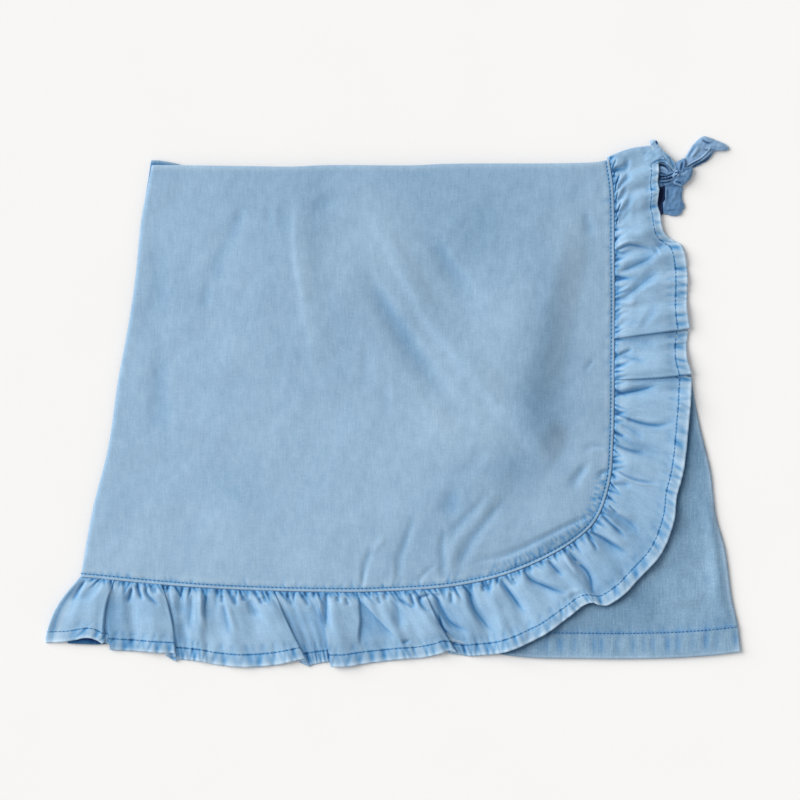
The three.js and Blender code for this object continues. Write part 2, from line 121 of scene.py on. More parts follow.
class Path:
    """A smooth flat curve through a few points, read by the distance along it.

    Knots are spaced by the square root of their gaps (a centripetal curve), the cubics between
    them are sampled finely, and the samples are read back by running length.
    """

    def __init__(self, points: Array, samples: int = 2400) -> None:
        """Samples the curve.

        Args:
            points: the few points, one row each.
            samples: how many places are worked out.
        """
        gaps = np.sqrt(np.linalg.norm(np.diff(points, axis=0), axis=1))
        place = np.concatenate([[0.0], np.cumsum(gaps)])
        self.line = hermite(place, points, np.linspace(0.0, place[-1], samples))
        self.run = run_of(self.line)
        self.length = float(self.run[-1])

    def at(self, distance: Array) -> Array:
        """Points at the given distances along the curve, one row each."""
        return np.stack([np.interp(distance, self.run, self.line[:, k]) for k in (0, 1)], -1)

    def fractions(self, share: Array) -> Array:
        """Points at the given shares (0 to 1) of the curve's length."""
        return self.at(share * self.length)

    def tangent(self, distance: Array, step: float = 0.8) -> Array:
        """Unit directions of travel, between the points a step ahead and behind."""
        ahead = self.at(np.minimum(distance + step, self.length))
        return unit(ahead - self.at(np.maximum(distance - step, 0.0)))

    def distance_to(self, x: Array, y: Array, samples: int) -> Array:
        """Shortest distance from each point to the curve, taken to its chords."""
        return chain_distance(x, y, self.fractions(np.linspace(0.0, 1.0, samples)))[0]


def chain_distance(x: Array, y: Array, chain: Array) -> tuple[Array, Array, Array]:
    """Nearest place on a chain of chords, chord by chord over whole arrays.

    Args:
        x: first coordinates of the points.
        y: second coordinates.
        chain: corners of the chain, one row each.

    Returns:
        The distance, the side (above 0 on the left of the direction of travel) and the share
        of the chain's length that lies before the nearest place.
    """
    best = np.full(np.shape(x), np.inf)
    side, share = np.zeros(np.shape(x)), np.zeros(np.shape(x))
    before = run_of(chain)
    for corner, chord, start in zip(chain, np.diff(chain, axis=0), before):
        dx, dy = x - corner[0], y - corner[1]
        length = math.hypot(*chord)
        t = np.clip((dx * chord[0] + dy * chord[1]) / length**2, 0.0, 1.0)
        off = np.hypot(dx - t * chord[0], dy - t * chord[1])
        near = off < best
        best = np.where(near, off, best)
        side = np.where(near, chord[0] * dy - chord[1] * dx, side)
        share = np.where(near, (start + t * length) / before[-1], share)
    return best, side, share


REACH_ALONG = (0.75, 0.6)  # a crease's reach at its start, and what it gains along its length
HELD_BELOW = 12.0  # reach of the creases that are small enough for a seam to hold
NIP_WIDTH = 0.7  # of the painted dark line of shade in a pinched trough


def lay_creases(table: str, x: Array, y: Array) -> tuple[Array, Array]:
    """Sums listed ridges and troughs: height * flank(off / reach) * fade for each.

    The flank is a cosine bell, mixed with a cusp (1 - u)^2 where it is pinched. The reach grows
    along the line. The fade is short at its start, where a seam holds a small crease, and long
    at its end.

    Args:
        table: rows of the points 'x,y' of a line, then its height (below 0 for a trough), its
            reach, and its pinch from 0 to 1 where it has one. A row of four sizes gives the
            reach on the left and on the right of its direction.
        x: first coordinates.
        y: second coordinates.

    Returns:
        The rise, and from 0 to 1 the painted dark lines of shade where pinched troughs close.
    """
    rise, nip = np.zeros(np.shape(x)), np.zeros(np.shape(x))
    for row in table.splitlines():
        if "|" not in row:
            continue
        line, sizes = row.split("|")
        knots = points_of(line)
        height, left, *rest = map(float, sizes.split())
        right, pinch = rest if len(rest) == 2 else (left, *rest, 0.0)[:2]
        widest = max(left, right)
        chain = Path(knots, 40).fractions(np.linspace(0.0, 1.0, 4 * len(knots)))
        margin = widest * sum(REACH_ALONG)
        low, high = chain.min(axis=0) - margin, chain.max(axis=0) + margin
        near = (x > low[0]) & (x < high[0]) & (y > low[1]) & (y < high[1])
        off, side, share = chain_distance(x[near], y[near], chain)
        reach = np.where(side > 0, left, right) * (REACH_ALONG[0] + REACH_ALONG[1] * share)
        u = np.clip(off / reach, 0.0, 1.0)
        flank = 0.5 + 0.5 * np.cos(np.pi * u)
        cusp = (1.0 - np.sqrt(u * u + 0.01) / math.sqrt(1.01)) ** 2 / 0.81
        start = -0.1 if widest < HELD_BELOW else 0.0
        fade = ease(share, start, start + 0.3) * ease(1.0 - share, -0.04, 0.4)
        rise[near] += height * (flank + pinch * (cusp - flank)) * fade
        if height < 0 < pinch:
            dark = min(1.0, 1.6 * pinch) * bell(off, NIP_WIDTH) * fade
            nip[near] = np.maximum(nip[near], dark)
    return rise, nip


def spots(table: str, x: Array, y: Array) -> Array:
    """Sums soft patches: strength * bell(distance from the middle in half sizes) for each.

    Args:
        table: rows of the middle's x and y, half width, half length and strength.
        x: first coordinates.
        y: second coordinates.

    Returns:
        The sum at each place.
    """
    total = np.zeros(np.shape(x))
    for cx, cy, wide, tall, strength in rows_of(table, 5):
        total += strength * bell(np.hypot((x - cx) / wide, (y - cy) / tall), 1.0)
    return total


def drift(x: Array, y: Array, size: float, seed: int) -> Array:
    """Gentle unevenness: the mean of 18 plane cosines of random heading.

    Args:
        x: first coordinates.
        y: second coordinates.
        size: rough distance between neighbouring swells.
        seed: picks the headings.

    Returns:
        Heights of about -1 to 1.
    """
    waves = 18
    pick = np.random.default_rng(seed)
    heading = pick.uniform(0.0, math.tau, waves)
    pitch = size * pick.uniform(0.7, 1.6, waves)
    phase = pick.uniform(0.0, math.tau, waves)
    total = np.zeros(np.shape(x))
    for a, length, start in zip(heading, pitch, phase):
        total += np.cos((x * math.cos(a) + y * math.sin(a)) * math.tau / length + start)
    return total * math.sqrt(2.0 / waves) / 1.6  # which brings the peaks to about 1


@dataclass(frozen=True)
class Ticks:
    """Short troughs side by side along a seam, each of its own place, length, width and lean."""

    pitch: float  # mean spacing
    reach: tuple[float, float]  # least and greatest length
    width: float  # half width of each one's bell
    lean: float  # greatest sideways drift for each millimetre out
    seed: int  # picks the differences

    def lay(self, along: Array, out: Array, start: float, end: float) -> Array:
        """Depths: each trough is a bell across, times an ease out along its length.

        Args:
            along: distance along the seam of each place.
            out: distance from the seam.
            start: the first trough's distance along the seam.
            end: where they stop.

        Returns:
            Depths from 0 to about 1.
        """
        pick = np.random.default_rng(self.seed)
        count = int((end - start) / self.pitch)
        places = start + (np.arange(count) + pick.uniform(-0.33, 0.33, count)) * self.pitch
        lengths = pick.uniform(*self.reach, count)
        widths = self.width * pick.uniform(0.7, 1.35, count)
        leans = self.lean * pick.uniform(-1.0, 1.0, count)
        depths = pick.uniform(0.45, 1.0, count)
        total = np.zeros(np.shape(along))
        for place, length, wide, slope, depth in zip(places, lengths, widths, leans, depths):
            near = (np.abs(along - place) < 3 * wide + abs(slope) * length) & (out < length)
            a, o = along[near], out[near]
            total[near] += depth * bell(a - place - slope * o, wide) * ease(1 - o / length, 0, 0.9)
        return total


# ---- meshes ----


def grid_faces(numbers: Array) -> Array:
    """Quads of a grid of vertex numbers whose rows run down and whose columns run right."""
    corners = [numbers[:-1, :-1], numbers[1:, :-1], numbers[1:, 1:], numbers[:-1, 1:]]
    return np.stack(corners, -1).reshape(-1, 4)


def halving_faces(fine: Array, coarse: Array) -> list[Array]:
    """Triangles between a row of 2n + 1 vertices and the row of n + 1 that follows it.

    Args:
        fine: vertex numbers of the first row.
        coarse: vertex numbers of the second.

    Returns:
        Three arrays of triangles.
    """
    a, m, b = fine[:-2:2], fine[1:-1:2], fine[2::2]
    c, d = coarse[:-1], coarse[1:]
    return [np.stack(three, -1) for three in ((a, c, m), (m, c, d), (m, d, b))]


def loop_area(loop: Array) -> float:
    """Area inside a closed flat chain of points, above 0 if anticlockwise (the shoelace sum)."""
    x, y = loop[:, 0], loop[:, 1]
    return 0.5 * float(np.sum(x * np.roll(y, -1) - y * np.roll(x, -1)))


def coons(left: Array, right: Array, top: Array, bottom: Array) -> Array:
    """Fills a four-sided outline: the two rulings between facing edges, less the corners' own.

    Args:
        left: points down the left edge.
        right: as many points down the right edge.
        top: points across the top.
        bottom: as many points across the bottom.

    Returns:
        A grid of points, rows down and columns across.
    """
    t = np.linspace(0.0, 1.0, len(left))[:, None, None]
    u = np.linspace(0.0, 1.0, len(top))[None, :, None]
    made = left[:, None] * (1 - u) + right[:, None] * u + top[None] * (1 - t) + bottom[None] * t
    made -= (top[0] * (1 - u) + top[-1] * u) * (1 - t)
    return made - (bottom[0] * (1 - u) + bottom[-1] * u) * t


def put_mesh(name: str, points: Array, faces: Sequence[Array]) -> bpy.types.Object:
    """Puts points (millimetres) and faces into a new smooth-shaded mesh object.

    Args:
        name: the object's name.
        points: one row for each vertex.
        faces: arrays of vertex numbers, each array with faces of one size.

    Returns:
        The linked object.
    """
    mesh = bpy.data.meshes.new(name)
    mesh.vertices.add(len(points))
    mesh.vertices.foreach_set("co", np.ascontiguousarray(points * MM, np.float32).ravel())
    loops = np.concatenate([part.ravel() for part in faces]).astype(np.int32)
    sizes = np.concatenate([np.full(len(part), part.shape[1]) for part in faces])
    mesh.loops.add(len(loops))
    mesh.loops.foreach_set("vertex_index", loops)
    mesh.polygons.add(len(sizes))
    starts = np.concatenate([[0], np.cumsum(sizes)[:-1]]).astype(np.int32)
    mesh.polygons.foreach_set("loop_start", starts)
    mesh.update(calc_edges=True)
    mesh.shade_smooth()
    made = bpy.data.objects.new(name, mesh)
    bpy.context.scene.collection.objects.link(made)
    return made


@dataclass
class Cloth:
    """A sheet of cloth given by its upper face, made into a closed shell with a round edge."""

    name: str
    points: Array  # its upper face, one row for each vertex
    faces: list[Array]  # the upper face's quads and triangles
    rim: Array  # vertex numbers round its edge, anticlockwise
    weave: Array  # millimetres along the weft and the warp at each vertex
    thick: Any  # thickness at each vertex, or of it all
    marks: dict[str, Array]  # named numbers at each vertex for the finish
    clear: float = 0.05  # least height of the underside above the surface it lies on

    @classmethod
    def on_grid(cls, name: str, face: Array, weave: Array, thick: Any, **marks: Array) -> "Cloth":
        """Cloth on one grid of points, whose rows run down and whose columns run right.

        Args:
            name: the piece's name.
            face: the grid of its upper face.
            weave: weft and warp places on the same grid.
            thick: thickness on the grid, or one number.
            marks: named numbers on the grid.

        Returns:
            The cloth, not yet built.
        """
        n = np.arange(face[..., 0].size).reshape(face.shape[:2])
        rim = np.concatenate([n[:-1, 0], n[-1, :-1], n[:0:-1, -1], n[0, :0:-1]])
        flat = {key: np.ravel(value) for key, value in marks.items()}
        points, weave = face.reshape(-1, 3), weave.reshape(-1, 2)
        return cls(name, points, [grid_faces(n)], rim, weave, np.ravel(thick), flat)

    def normals(self) -> Array:
        """Sums the cross products of the faces' diagonals at each vertex.

        Returns:
            Unit normals.
        """
        total = np.zeros_like(self.points)
        for part in self.faces:
            corners = [self.points[part[:, k]] for k in (0, 1, 2, -1)]
            across = np.cross(corners[2] - corners[0], corners[3] - corners[1])
            for corner in part.T:
                for axis in range(3):
                    total[:, axis] += np.bincount(corner, across[:, axis], len(total))
        return unit(total)

    def build(self, finish: "Finish", slot: str, *nodes: str) -> bpy.types.Object:
        """Closes the shell, makes its object and dresses it.

        The underside is the upper face moved in by the thickness along its normals. The edge
        has one more row, half a thickness out.

        Args:
            finish: its material.
            slot: the record's material slot.
            nodes: the solids that it replaces.

        Returns:
            The piece.
        """
        count, rim = len(self.points), self.rim
        thick = np.broadcast_to(self.thick, (count,))
        normals = self.normals()
        under = self.points - normals * thick[:, None]
        under[:, 2] = np.maximum(under[:, 2], self.clear)
        edge = self.points[rim]
        along = unit(np.roll(edge, -1, axis=0) - np.roll(edge, 1, axis=0))
        lip = (edge + under[rim]) / 2 + np.cross(along, normals[rim]) * thick[rim, None] / 2
        lip[:, 2] = np.maximum(lip[:, 2], self.clear + 0.03)
        faces = [*self.faces, *(part[:, ::-1] + count for part in self.faces)]
        middle = 2 * count + np.arange(len(rim))
        for upper, lower in ((rim, middle), (middle, rim + count)):
            faces.append(np.stack([upper, lower, np.roll(lower, -1), np.roll(upper, -1)], -1))
        made = put_mesh(self.name, np.concatenate([self.points, under, lip]), faces)
        origin = np.concatenate([np.arange(count), np.arange(count), rim])
        loops = np.empty(len(made.data.loops), np.int32)
        made.data.loops.foreach_get("vertex_index", loops)
        weave = made.data.uv_layers.new(name="weave")
        weave.data.foreach_set("uv", self.weave[origin][loops].astype(np.float32).ravel())
        for name, values in self.marks.items():
            mark = made.data.attributes.new(name, "FLOAT", "POINT")
            mark.data.foreach_set("value", values[origin].astype(np.float32))
        dress(made, finish, slot, *nodes)
        return made


# ---- finishes ----


def linear(colour: str) -> tuple[float, ...]:
    """Turns an sRGB hex colour to linear.

    Args:
        colour: '#' and six digits.

    Returns:
        Red, green, blue and alpha.
    """
    parts = [int(colour[k : k + 2], 16) / 255 for k in (1, 3, 5)]
    lit = [p / 12.92 if p <= 0.04045 else ((p + 0.055) / 1.055) ** 2.4 for p in parts]
    return (*lit, 1.0)


def add_node(
    tree: bpy.types.NodeTree, kind: str, inputs: dict[Any, Any] | None = None, **settings: Any
) -> bpy.types.Node:
    """Adds one node, applies its settings, and sets or links its inputs.

    Args:
        tree: the material's nodes.
        kind: the node type.
        inputs: socket name or number to a value or to another node's output.
        settings: the node's own properties.

    Returns:
        The node.
    """
    made = tree.nodes.new(kind)
    for name, value in settings.items():
        setattr(made, name, value)
    for name, value in (inputs or {}).items():
        if isinstance(value, bpy.types.NodeSocket):
            tree.links.new(value, made.inputs[name])
        else:
            made.inputs[name].default_value = value
    return made


@dataclass(frozen=True)
class Finish:
    """A finish: the inputs of one Principled surface, which each kind works out its own way."""

    name: str

    def surface(self, tree: bpy.types.NodeTree) -> dict[str, Any]:
        """The Principled inputs."""
        raise NotImplementedError

    def make(self) -> bpy.types.Material:
        """Builds the material.

        Returns:
            A material that ends in the Principled surface.
        """
        made = bpy.data.materials.new(self.name)
        made.use_nodes = True
        made.node_tree.nodes.clear()
        inputs = self.surface(made.node_tree)
        shader = add_node(made.node_tree, "ShaderNodeBsdfPrincipled", inputs)
        output = {"Surface": shader.outputs["BSDF"]}
        add_node(made.node_tree, "ShaderNodeOutputMaterial", output)
        return made


@dataclass(frozen=True)
class Mottled(Finish):
    """Two close colours mixed by soft noise."""

    low: str
    high: str
    stops: tuple[float, float]  # noise levels where the two colours stand
    scale: float  # noise cells in a metre
    detail: float
    settings: tuple[tuple[str, float], ...]  # further Principled inputs

    def surface(self, tree: bpy.types.NodeTree) -> dict[str, Any]:
        """Works out the Principled inputs from noise in the object's own space.

        Args:
            tree: the material's nodes.

        Returns:
            Inputs with a toned colour.
        """
        place = add_node(tree, "ShaderNodeTexCoord").outputs["Object"]
        inputs = {"Vector": place, "Scale": self.scale, "Detail": self.detail}
        noise = add_node(tree, "ShaderNodeTexNoise", inputs)
        ramp = add_node(tree, "ShaderNodeValToRGB", {"Fac": noise.outputs["Fac"]})
        for stop, at, colour in zip(ramp.color_ramp.elements, self.stops, (self.low, self.high)):
            stop.position = at
            stop.color = linear(colour)
        return {"Base Color": ramp.outputs["Color"], **dict(self.settings)}


@dataclass(frozen=True)
class Denim(Finish):
    """Light washed denim: indigo warp and white weft, stone washed after sewing.

    The eye sees fine streaks along both threads, soft clouds from the wash, pale rubbed folds
    and seam edges, a stronger blue where gathers hid the cloth from rubbing, and soft shade in
    hollows. The pale mark also paints highlights on some rounded edges. The deep mark also paints
    shade in folds and under other cloth. The shade mark is painted shade, or painted light where
    below 0.
    """

    dark: str  # bottom of tight folds: partly cloth that the wash never reached, partly the deepest painted shade
    deep: str  # hidden troughs: partly unwashed cloth, partly painted shade
    body: str  # plain cloth
    pale: str  # rubbed edges, and painted highlights on some of them
    streak: float = 0.15  # strength of the thread streaks
    cloud: float = 0.15  # strength of the wash clouds
    grain: float = 0.16  # strength of the fine crossing of the threads

    def surface(self, tree: bpy.types.NodeTree) -> dict[str, Any]:
        """Works out the Principled inputs from the weave map and the pale, deep and shade marks.

        Args:
            tree: the material's nodes.

        Returns:
            Inputs with a toned colour and a fine bump.
        """
        weave = add_node(tree, "ShaderNodeUVMap", uv_map="weave").outputs["UV"]
        made: dict[Any, Any] = {}
        for mark in ("pale", "deep", "shade"):
            made[mark] = add_node(tree, "ShaderNodeAttribute", attribute_name=mark).outputs["Fac"]
        # Millimetres along the weft and the warp, and detail. The grain of thread crossings is
        # really 0.4 mm apart, too fine to show, and is drawn coarser.
        patterns = {
            "slubs": (1.0, 11.0, 2),
            "crossed": (6.0, 1.0, 2),
            "cloud": (30.0, 44.0, 4),
            "haze": (5.0, 8.0, 4),
            "grain": (1.1, 1.4, 2),
        }
        for name, (weft, warp, detail) in patterns.items():
            inputs = {"Vector": weave, "Scale": (1 / weft, 1 / warp, 1.0)}
            place = add_node(tree, "ShaderNodeMapping", inputs).outputs["Vector"]
            inputs = {"Vector": place, "Scale": 1.0, "Detail": detail}
            noise = add_node(tree, "ShaderNodeTexNoise", inputs, noise_dimensions="2D")
            made[name] = noise.outputs["Fac"]
        washes = {"threads": self.streak, "cloud": self.cloud, "haze": 1.2 * self.cloud}
        mean = 0.8 * self.streak + 1.1 * self.cloud + 0.5 * self.grain
        # Weighted sums of these: what each starts from, and its weights.
        sums = {
            "threads": ("slubs", {"crossed": 0.6}),
            "wash": (-mean, {**washes, "grain": self.grain}),
            "level": (0.5, {"wash": 0.4, "pale": 0.5, "deep": -0.5}),
            "relief": ("threads", {"haze": 0.6}),
        }
        for name, (total, weights) in sums.items():
            total = made.get(total, total)
            for part, weight in weights.items():
                inputs = {0: made[part], 1: weight, 2: total}
                total = add_node(tree, "ShaderNodeMath", inputs, operation="MULTIPLY_ADD")
                total = total.outputs["Value"]
            made[name] = total
        ramp = add_node(tree, "ShaderNodeValToRGB", {"Fac": made["level"]})
        stops = ramp.color_ramp.elements
        stops[0].color, stops[1].color = linear(self.dark), linear(self.pale)
        stops.new(0.22).color = linear(self.deep)
        stops.new(0.5).color = linear(self.body)
        light: Any = (1.0, 1.0, 1.0)
        for part, tint in (("shade", (-1.3, -1.0, -0.8)), ("wash", (0.75, 0.75, 0.75))):
            inputs = {0: made[part], 1: tint, 2: light}
            light = add_node(tree, "ShaderNodeVectorMath", inputs, operation="MULTIPLY_ADD")
            light = light.outputs["Vector"]
        inputs = {0: ramp.outputs["Color"], 1: light}
        toned = add_node(tree, "ShaderNodeVectorMath", inputs, operation="MULTIPLY")
        inputs = {"Strength": 0.35, "Distance": 0.12 * MM, "Height": made["relief"]}
        return {
            "Base Color": toned.outputs["Vector"],
            "Roughness": 0.9,
            "IOR": 1.5,
            "Specular IOR Level": 0.25,
            "Sheen Weight": 0.18,
            "Sheen Roughness": 0.5,
            "Normal": add_node(tree, "ShaderNodeBump", inputs).outputs["Normal"],
        }


# The wrap: flat cloth that the wash reached everywhere, which looks pale and even.
WRAP_DENIM = Denim("washed_denim", "#285d94", "#5b97c8", "#94b3ce", "#c6daeb")
# The ruffle: gathers rubbed along their crests, which look a little brighter.
RUFFLE_DENIM = Denim("washed_denim_ruffle", "#285d94", "#5b97c8", "#93b6d4", "#c6dcef")
# The shorts: drawn darker and duller than the wrap, and more streaked.
SHORTS_DENIM = Denim(
    "washed_denim_shorts", "#2b5480", "#5488b8", "#7c9eba", "#aec6da", 0.3, 0.2, 0.32
)
# The tie: the denim drawn darker, as painted shade for its thick, tightly folded cloth.
TIE_DENIM = Denim("washed_denim_tie", "#17355f", "#3f6d9b", "#7296bb", "#b8d0e4")
# Spun polyester thread, whose twist gives the eye a matt indigo line with soft flecks. The
# twist is drawn coarser than its 0.3 mm so that it shows.
THREAD = Mottled(
    "sewing_thread", "#213f66", "#335a85", (0.3, 0.7), 600.0, 2.0,
    (("Roughness", 0.7), ("Sheen Weight", 0.1)),
)
# Matt white card, which gives the eye a pale ground with soft shadows.
CARD = Mottled(
    "white_card", "#f4f3f2", "#f7f6f5", (0.0, 1.0), 14.0, 3.0,
    (("Roughness", 0.95), ("Specular IOR Level", 0.1)),
)


def dress(piece: bpy.types.Object, finish: Finish, slot: str, *nodes: str) -> None:
    """Gives a piece its finish, parents it to the root body and hides the solids that it replaces.

    Args:
        piece: the object.
        finish: its finish, made at its first use.
        slot: not used.
        nodes: the solids that it replaces.
    """
    made = bpy.data.materials.get(finish.name) or finish.make()
    piece.data.materials.append(made)
    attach(piece, "root")
    if nodes:
        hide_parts(*nodes)
    LOG.info("%s: %d faces", piece.name, len(piece.data.polygons))


# ---- stitches ----


@dataclass
class Stitches:
    """A row of lockstitches: short thread humps that dip into the cloth at both ends."""

    line: Array  # points along the row on the cloth's face
    across: Array  # directions across it, on the left of its direction, on that face
    pitch: float = STITCH
    width: float = 0.68  # of the thread
    share: float = 0.72  # part of the pitch that the thread shows
    sink: float = 0.06  # how deep a stitch lies in the cloth
    dip: float = 0.3  # how far its ends drop below that
    look: float = 0.6  # how far ahead and behind its direction is read

    def build(self, name: str, slot: str) -> None:
        """Makes the row as one piece.

        Each stitch is a tube of six sides through five rings. A ring lies at t from -1 to 1
        along the stitch, has the radius sqrt(1 - t^2) of an ellipse, and drops by t^4.

        Args:
            name: the piece's name.
            slot: the record's material slot.
        """
        run = run_of(self.line)
        centres = np.arange(self.pitch / 2, run[-1], self.pitch)
        normals = unit(np.cross(np.gradient(self.line, axis=0), self.across))
        place, ahead, behind, up = (
            np.stack([np.interp(centres + shift, run, values[:, k]) for k in range(3)], -1)
            for shift, values in (
                (0, self.line), (self.look, self.line), (-self.look, self.line), (0, normals)
            )
        )
        along = unit(ahead - behind)
        up = unit(up - along * np.sum(up * along, axis=1, keepdims=True))
        t = np.array([-1.0, -0.72, 0.0, 0.72, 1.0])[:, None]
        a = np.linspace(0.0, math.tau, 7)[None, :-1]
        radius = np.sqrt(np.clip(1.0 - t**2, 0.0004, 1.0)) * self.width / 2
        lengthwise = t * self.pitch * self.share / 2 + 0 * a
        upward = radius * np.sin(a) - self.sink - self.dip * t**4
        points = place[:, None, None]
        for offset, axis in (
            (lengthwise, along), (radius * np.cos(a), np.cross(along, up)), (upward, up)
        ):
            points = points + offset[None, ..., None] * axis[:, None, None]
        ring = np.arange(30).reshape(5, 6)
        quads = grid_faces(np.concatenate([ring, ring[:, :1]], axis=1))[:, ::-1]
        ends = np.array([[0, 1, 2, 3], [0, 3, 4, 5], [24, 27, 26, 25], [24, 29, 28, 27]])
        one = np.concatenate([quads, ends])
        many = (np.arange(len(centres))[:, None, None] * 30 + one[None]).reshape(-1, 4)
        dress(put_mesh(name, points.reshape(-1, 3), [many]), THREAD, slot)


# ---- the wrap panel ----

SEAM = Path(rows_of("""
140.7 156.5  143.3 137  144 90  144 27  143.2 -26  140.8 -53  132 -77  116 -92  80.5 -110
43 -119.5  -7 -123.4  -65 -123.4  -131 -120.5  -202.5 -114
""", 2))
PANEL_TOP = Path(rows_of("""
-156.3 153  -142 152.9  -90 152.2  -66 151.9  -41 152.9  12 152.7  35 153.7  130 154.8
140.7 156.5
""", 2))
PANEL_SIDE = Path(rows_of("""
-156.3 153  -159 139  -163 118  -167 79  -172 46  -178 14  -184.5 -30  -194.5 -70  -202.5 -114
""", 2))

# Creases of the wrap, in the part's own x and y.
PANEL_CREASES = """
# long upright ridge left of the middle, and the hollow beside it
-64,144 -63,120 -62,96 -58,72 -55,52 -50,32 -47,14 | 0.45 16 5 0
# slanting ridge across the middle, with a sharp hollow below it and a wide fall above
-21,128 -9,111 4,89 15,69 24,53 41,33 57,14 71,-6 90,-24 98,-32 | 0.65 15 7 0
-45,165 -21,128 4,89 24,53 57,14 80,-15 | 0.5 44 80 0
-24,95 -10,72 5,48 19,27 33,8 48,-12 56,-26 | -0.85 8 13 0
33,103 44,89 56,76 65,70 88,70 | 0.25 5 4 0
20,112 35,90 48,68 55,52 | -0.5 13 10 0
# wide fall before the side seam, turning to the left at its foot
115,134 105,90 95,53 84,14 79,-18 77,-48 | 2.1 26 70 0
104,-8 97,-21 86,-32 | 1.9 18 40 0
54,-36 66,-47 80,-56 | 0.5 15 34 0
126,122 129,106 | -0.4 5 6 0
126,-41 120,-49 115,-58 | -0.5 5 0.1
140,-29.6 132.7,-29 127,-30.5 124,-34.5 | -0.3 3 3.5 0.15
141.3,-44.7 136.4,-46.3 133,-50 | -0.5 2.5 3 0.3
130,27 124,19 | -0.3 2.5 0.3
# creases that run down to the corner
13,-76 9,-89 4,-103 3,-121 | -0.4 4.5 4 0.2
1,-103 0,-123 | 0.2 3.5
33,-84 32,-97 34,-121 | -0.4 4.5 4 0.2
28,-105 18,-115 15,-123 | -0.2 3 0.2
68,-58 56,-71 45,-84 39,-97 36,-111 | 0.22 4
61,-63 50,-74 41,-85 37,-95 | -0.4 6
72,-64 61,-77 50,-92 44,-105 41,-120 | -0.45 6 5 0.2
39,-58 36,-77 | -0.5 10
-20,-121 -17,-103 -11,-93 | -0.45 3 0.2
-13,-98 -4,-87 | 0.3 3
# crease that follows the curve of the seam
131,-73 113,-81 99,-88 83,-96 70,-101 57,-103 45,-110 | -0.4 3 4 0.2
127,-78 109,-87 93,-96 73,-103 57,-107 | 0.12 4
137,-74 124,-88 109,-98 96,-105 83,-110 66,-115 | -1 4 5 0
# soft dents of the left half
-150,33 -151,11 -151,-12 -152,-28 | -0.35 10
-152,105 -151,46 | -0.2 10
-120,76 -122,58 | -0.25 6
-97,123 -106,105 -115,82 -121,66 | -0.26 8
-99,126 -99,115 | -0.15 5
-80,128 -80,108 | -0.15 5
-71,126 -71,108 | -0.15 5
-132,-45 -106,-58 -73,-64 | -0.2 24
-18,37 -16,4 | -0.15 6
-5,11 -3,-12 | -0.2 6
-47,134 -41,124 | -0.3 14
"""

# Painted shade where the wrap lies in its own soft shadow: x, y, half width, half length,
# strength; a strength below 0 paints light instead.
PANEL_SHADES = """
-60 150 70 48 0.08  30 150 80 48 0.1  95 140 45 36 0.05  -67 121 30 22 0.06  -50 92 9 60 0.05
-36 32 12 34 0.05  -25 64 50 34 0.06  62 90 34 26 0.06  64 98 42 34 0.1  80 112 30 26 0.06
5 46 40 36 0.08  5 28 40 34 0.05  105 42 20 44 0.06  97 -12 20 24 0.19  76 -43 22 14 0.2
97 -5 22 34 0.09  55 -56 28 28 0.08  18 -86 18 24 0.06  110 -93 34 12 0.07  62 -62 32 26 0.07
-150 60 24 90 0.03  -112 -104 115 30 -0.06  20 -52 60 22 -0.04  101 62 14 38 0.16
90 16 18 28 0.14  119 -84 9 6 0.13  130 -75 7 7 0.13  106 -91 9 5 0.11  56 56 34 30 0.08
47 7 18 32 0.07  22 -100 24 15 0.07
"""


def roll(distance: Array, radius: float) -> Array:
    """Fall of a quarter-round edge, as a circle's that stops just short of upright."""
    u = 1.0 - np.clip(distance / radius, 0.0, 1.0)
    return radius * (1.0 - np.sqrt(1.0 - 0.985 * u * u))


def stitch_beat(along: Array) -> Array:
    """A cosine from 0 to 1 that keeps time with the lockstitches."""
    return 0.5 + 0.5 * np.cos(along * math.tau / STITCH)


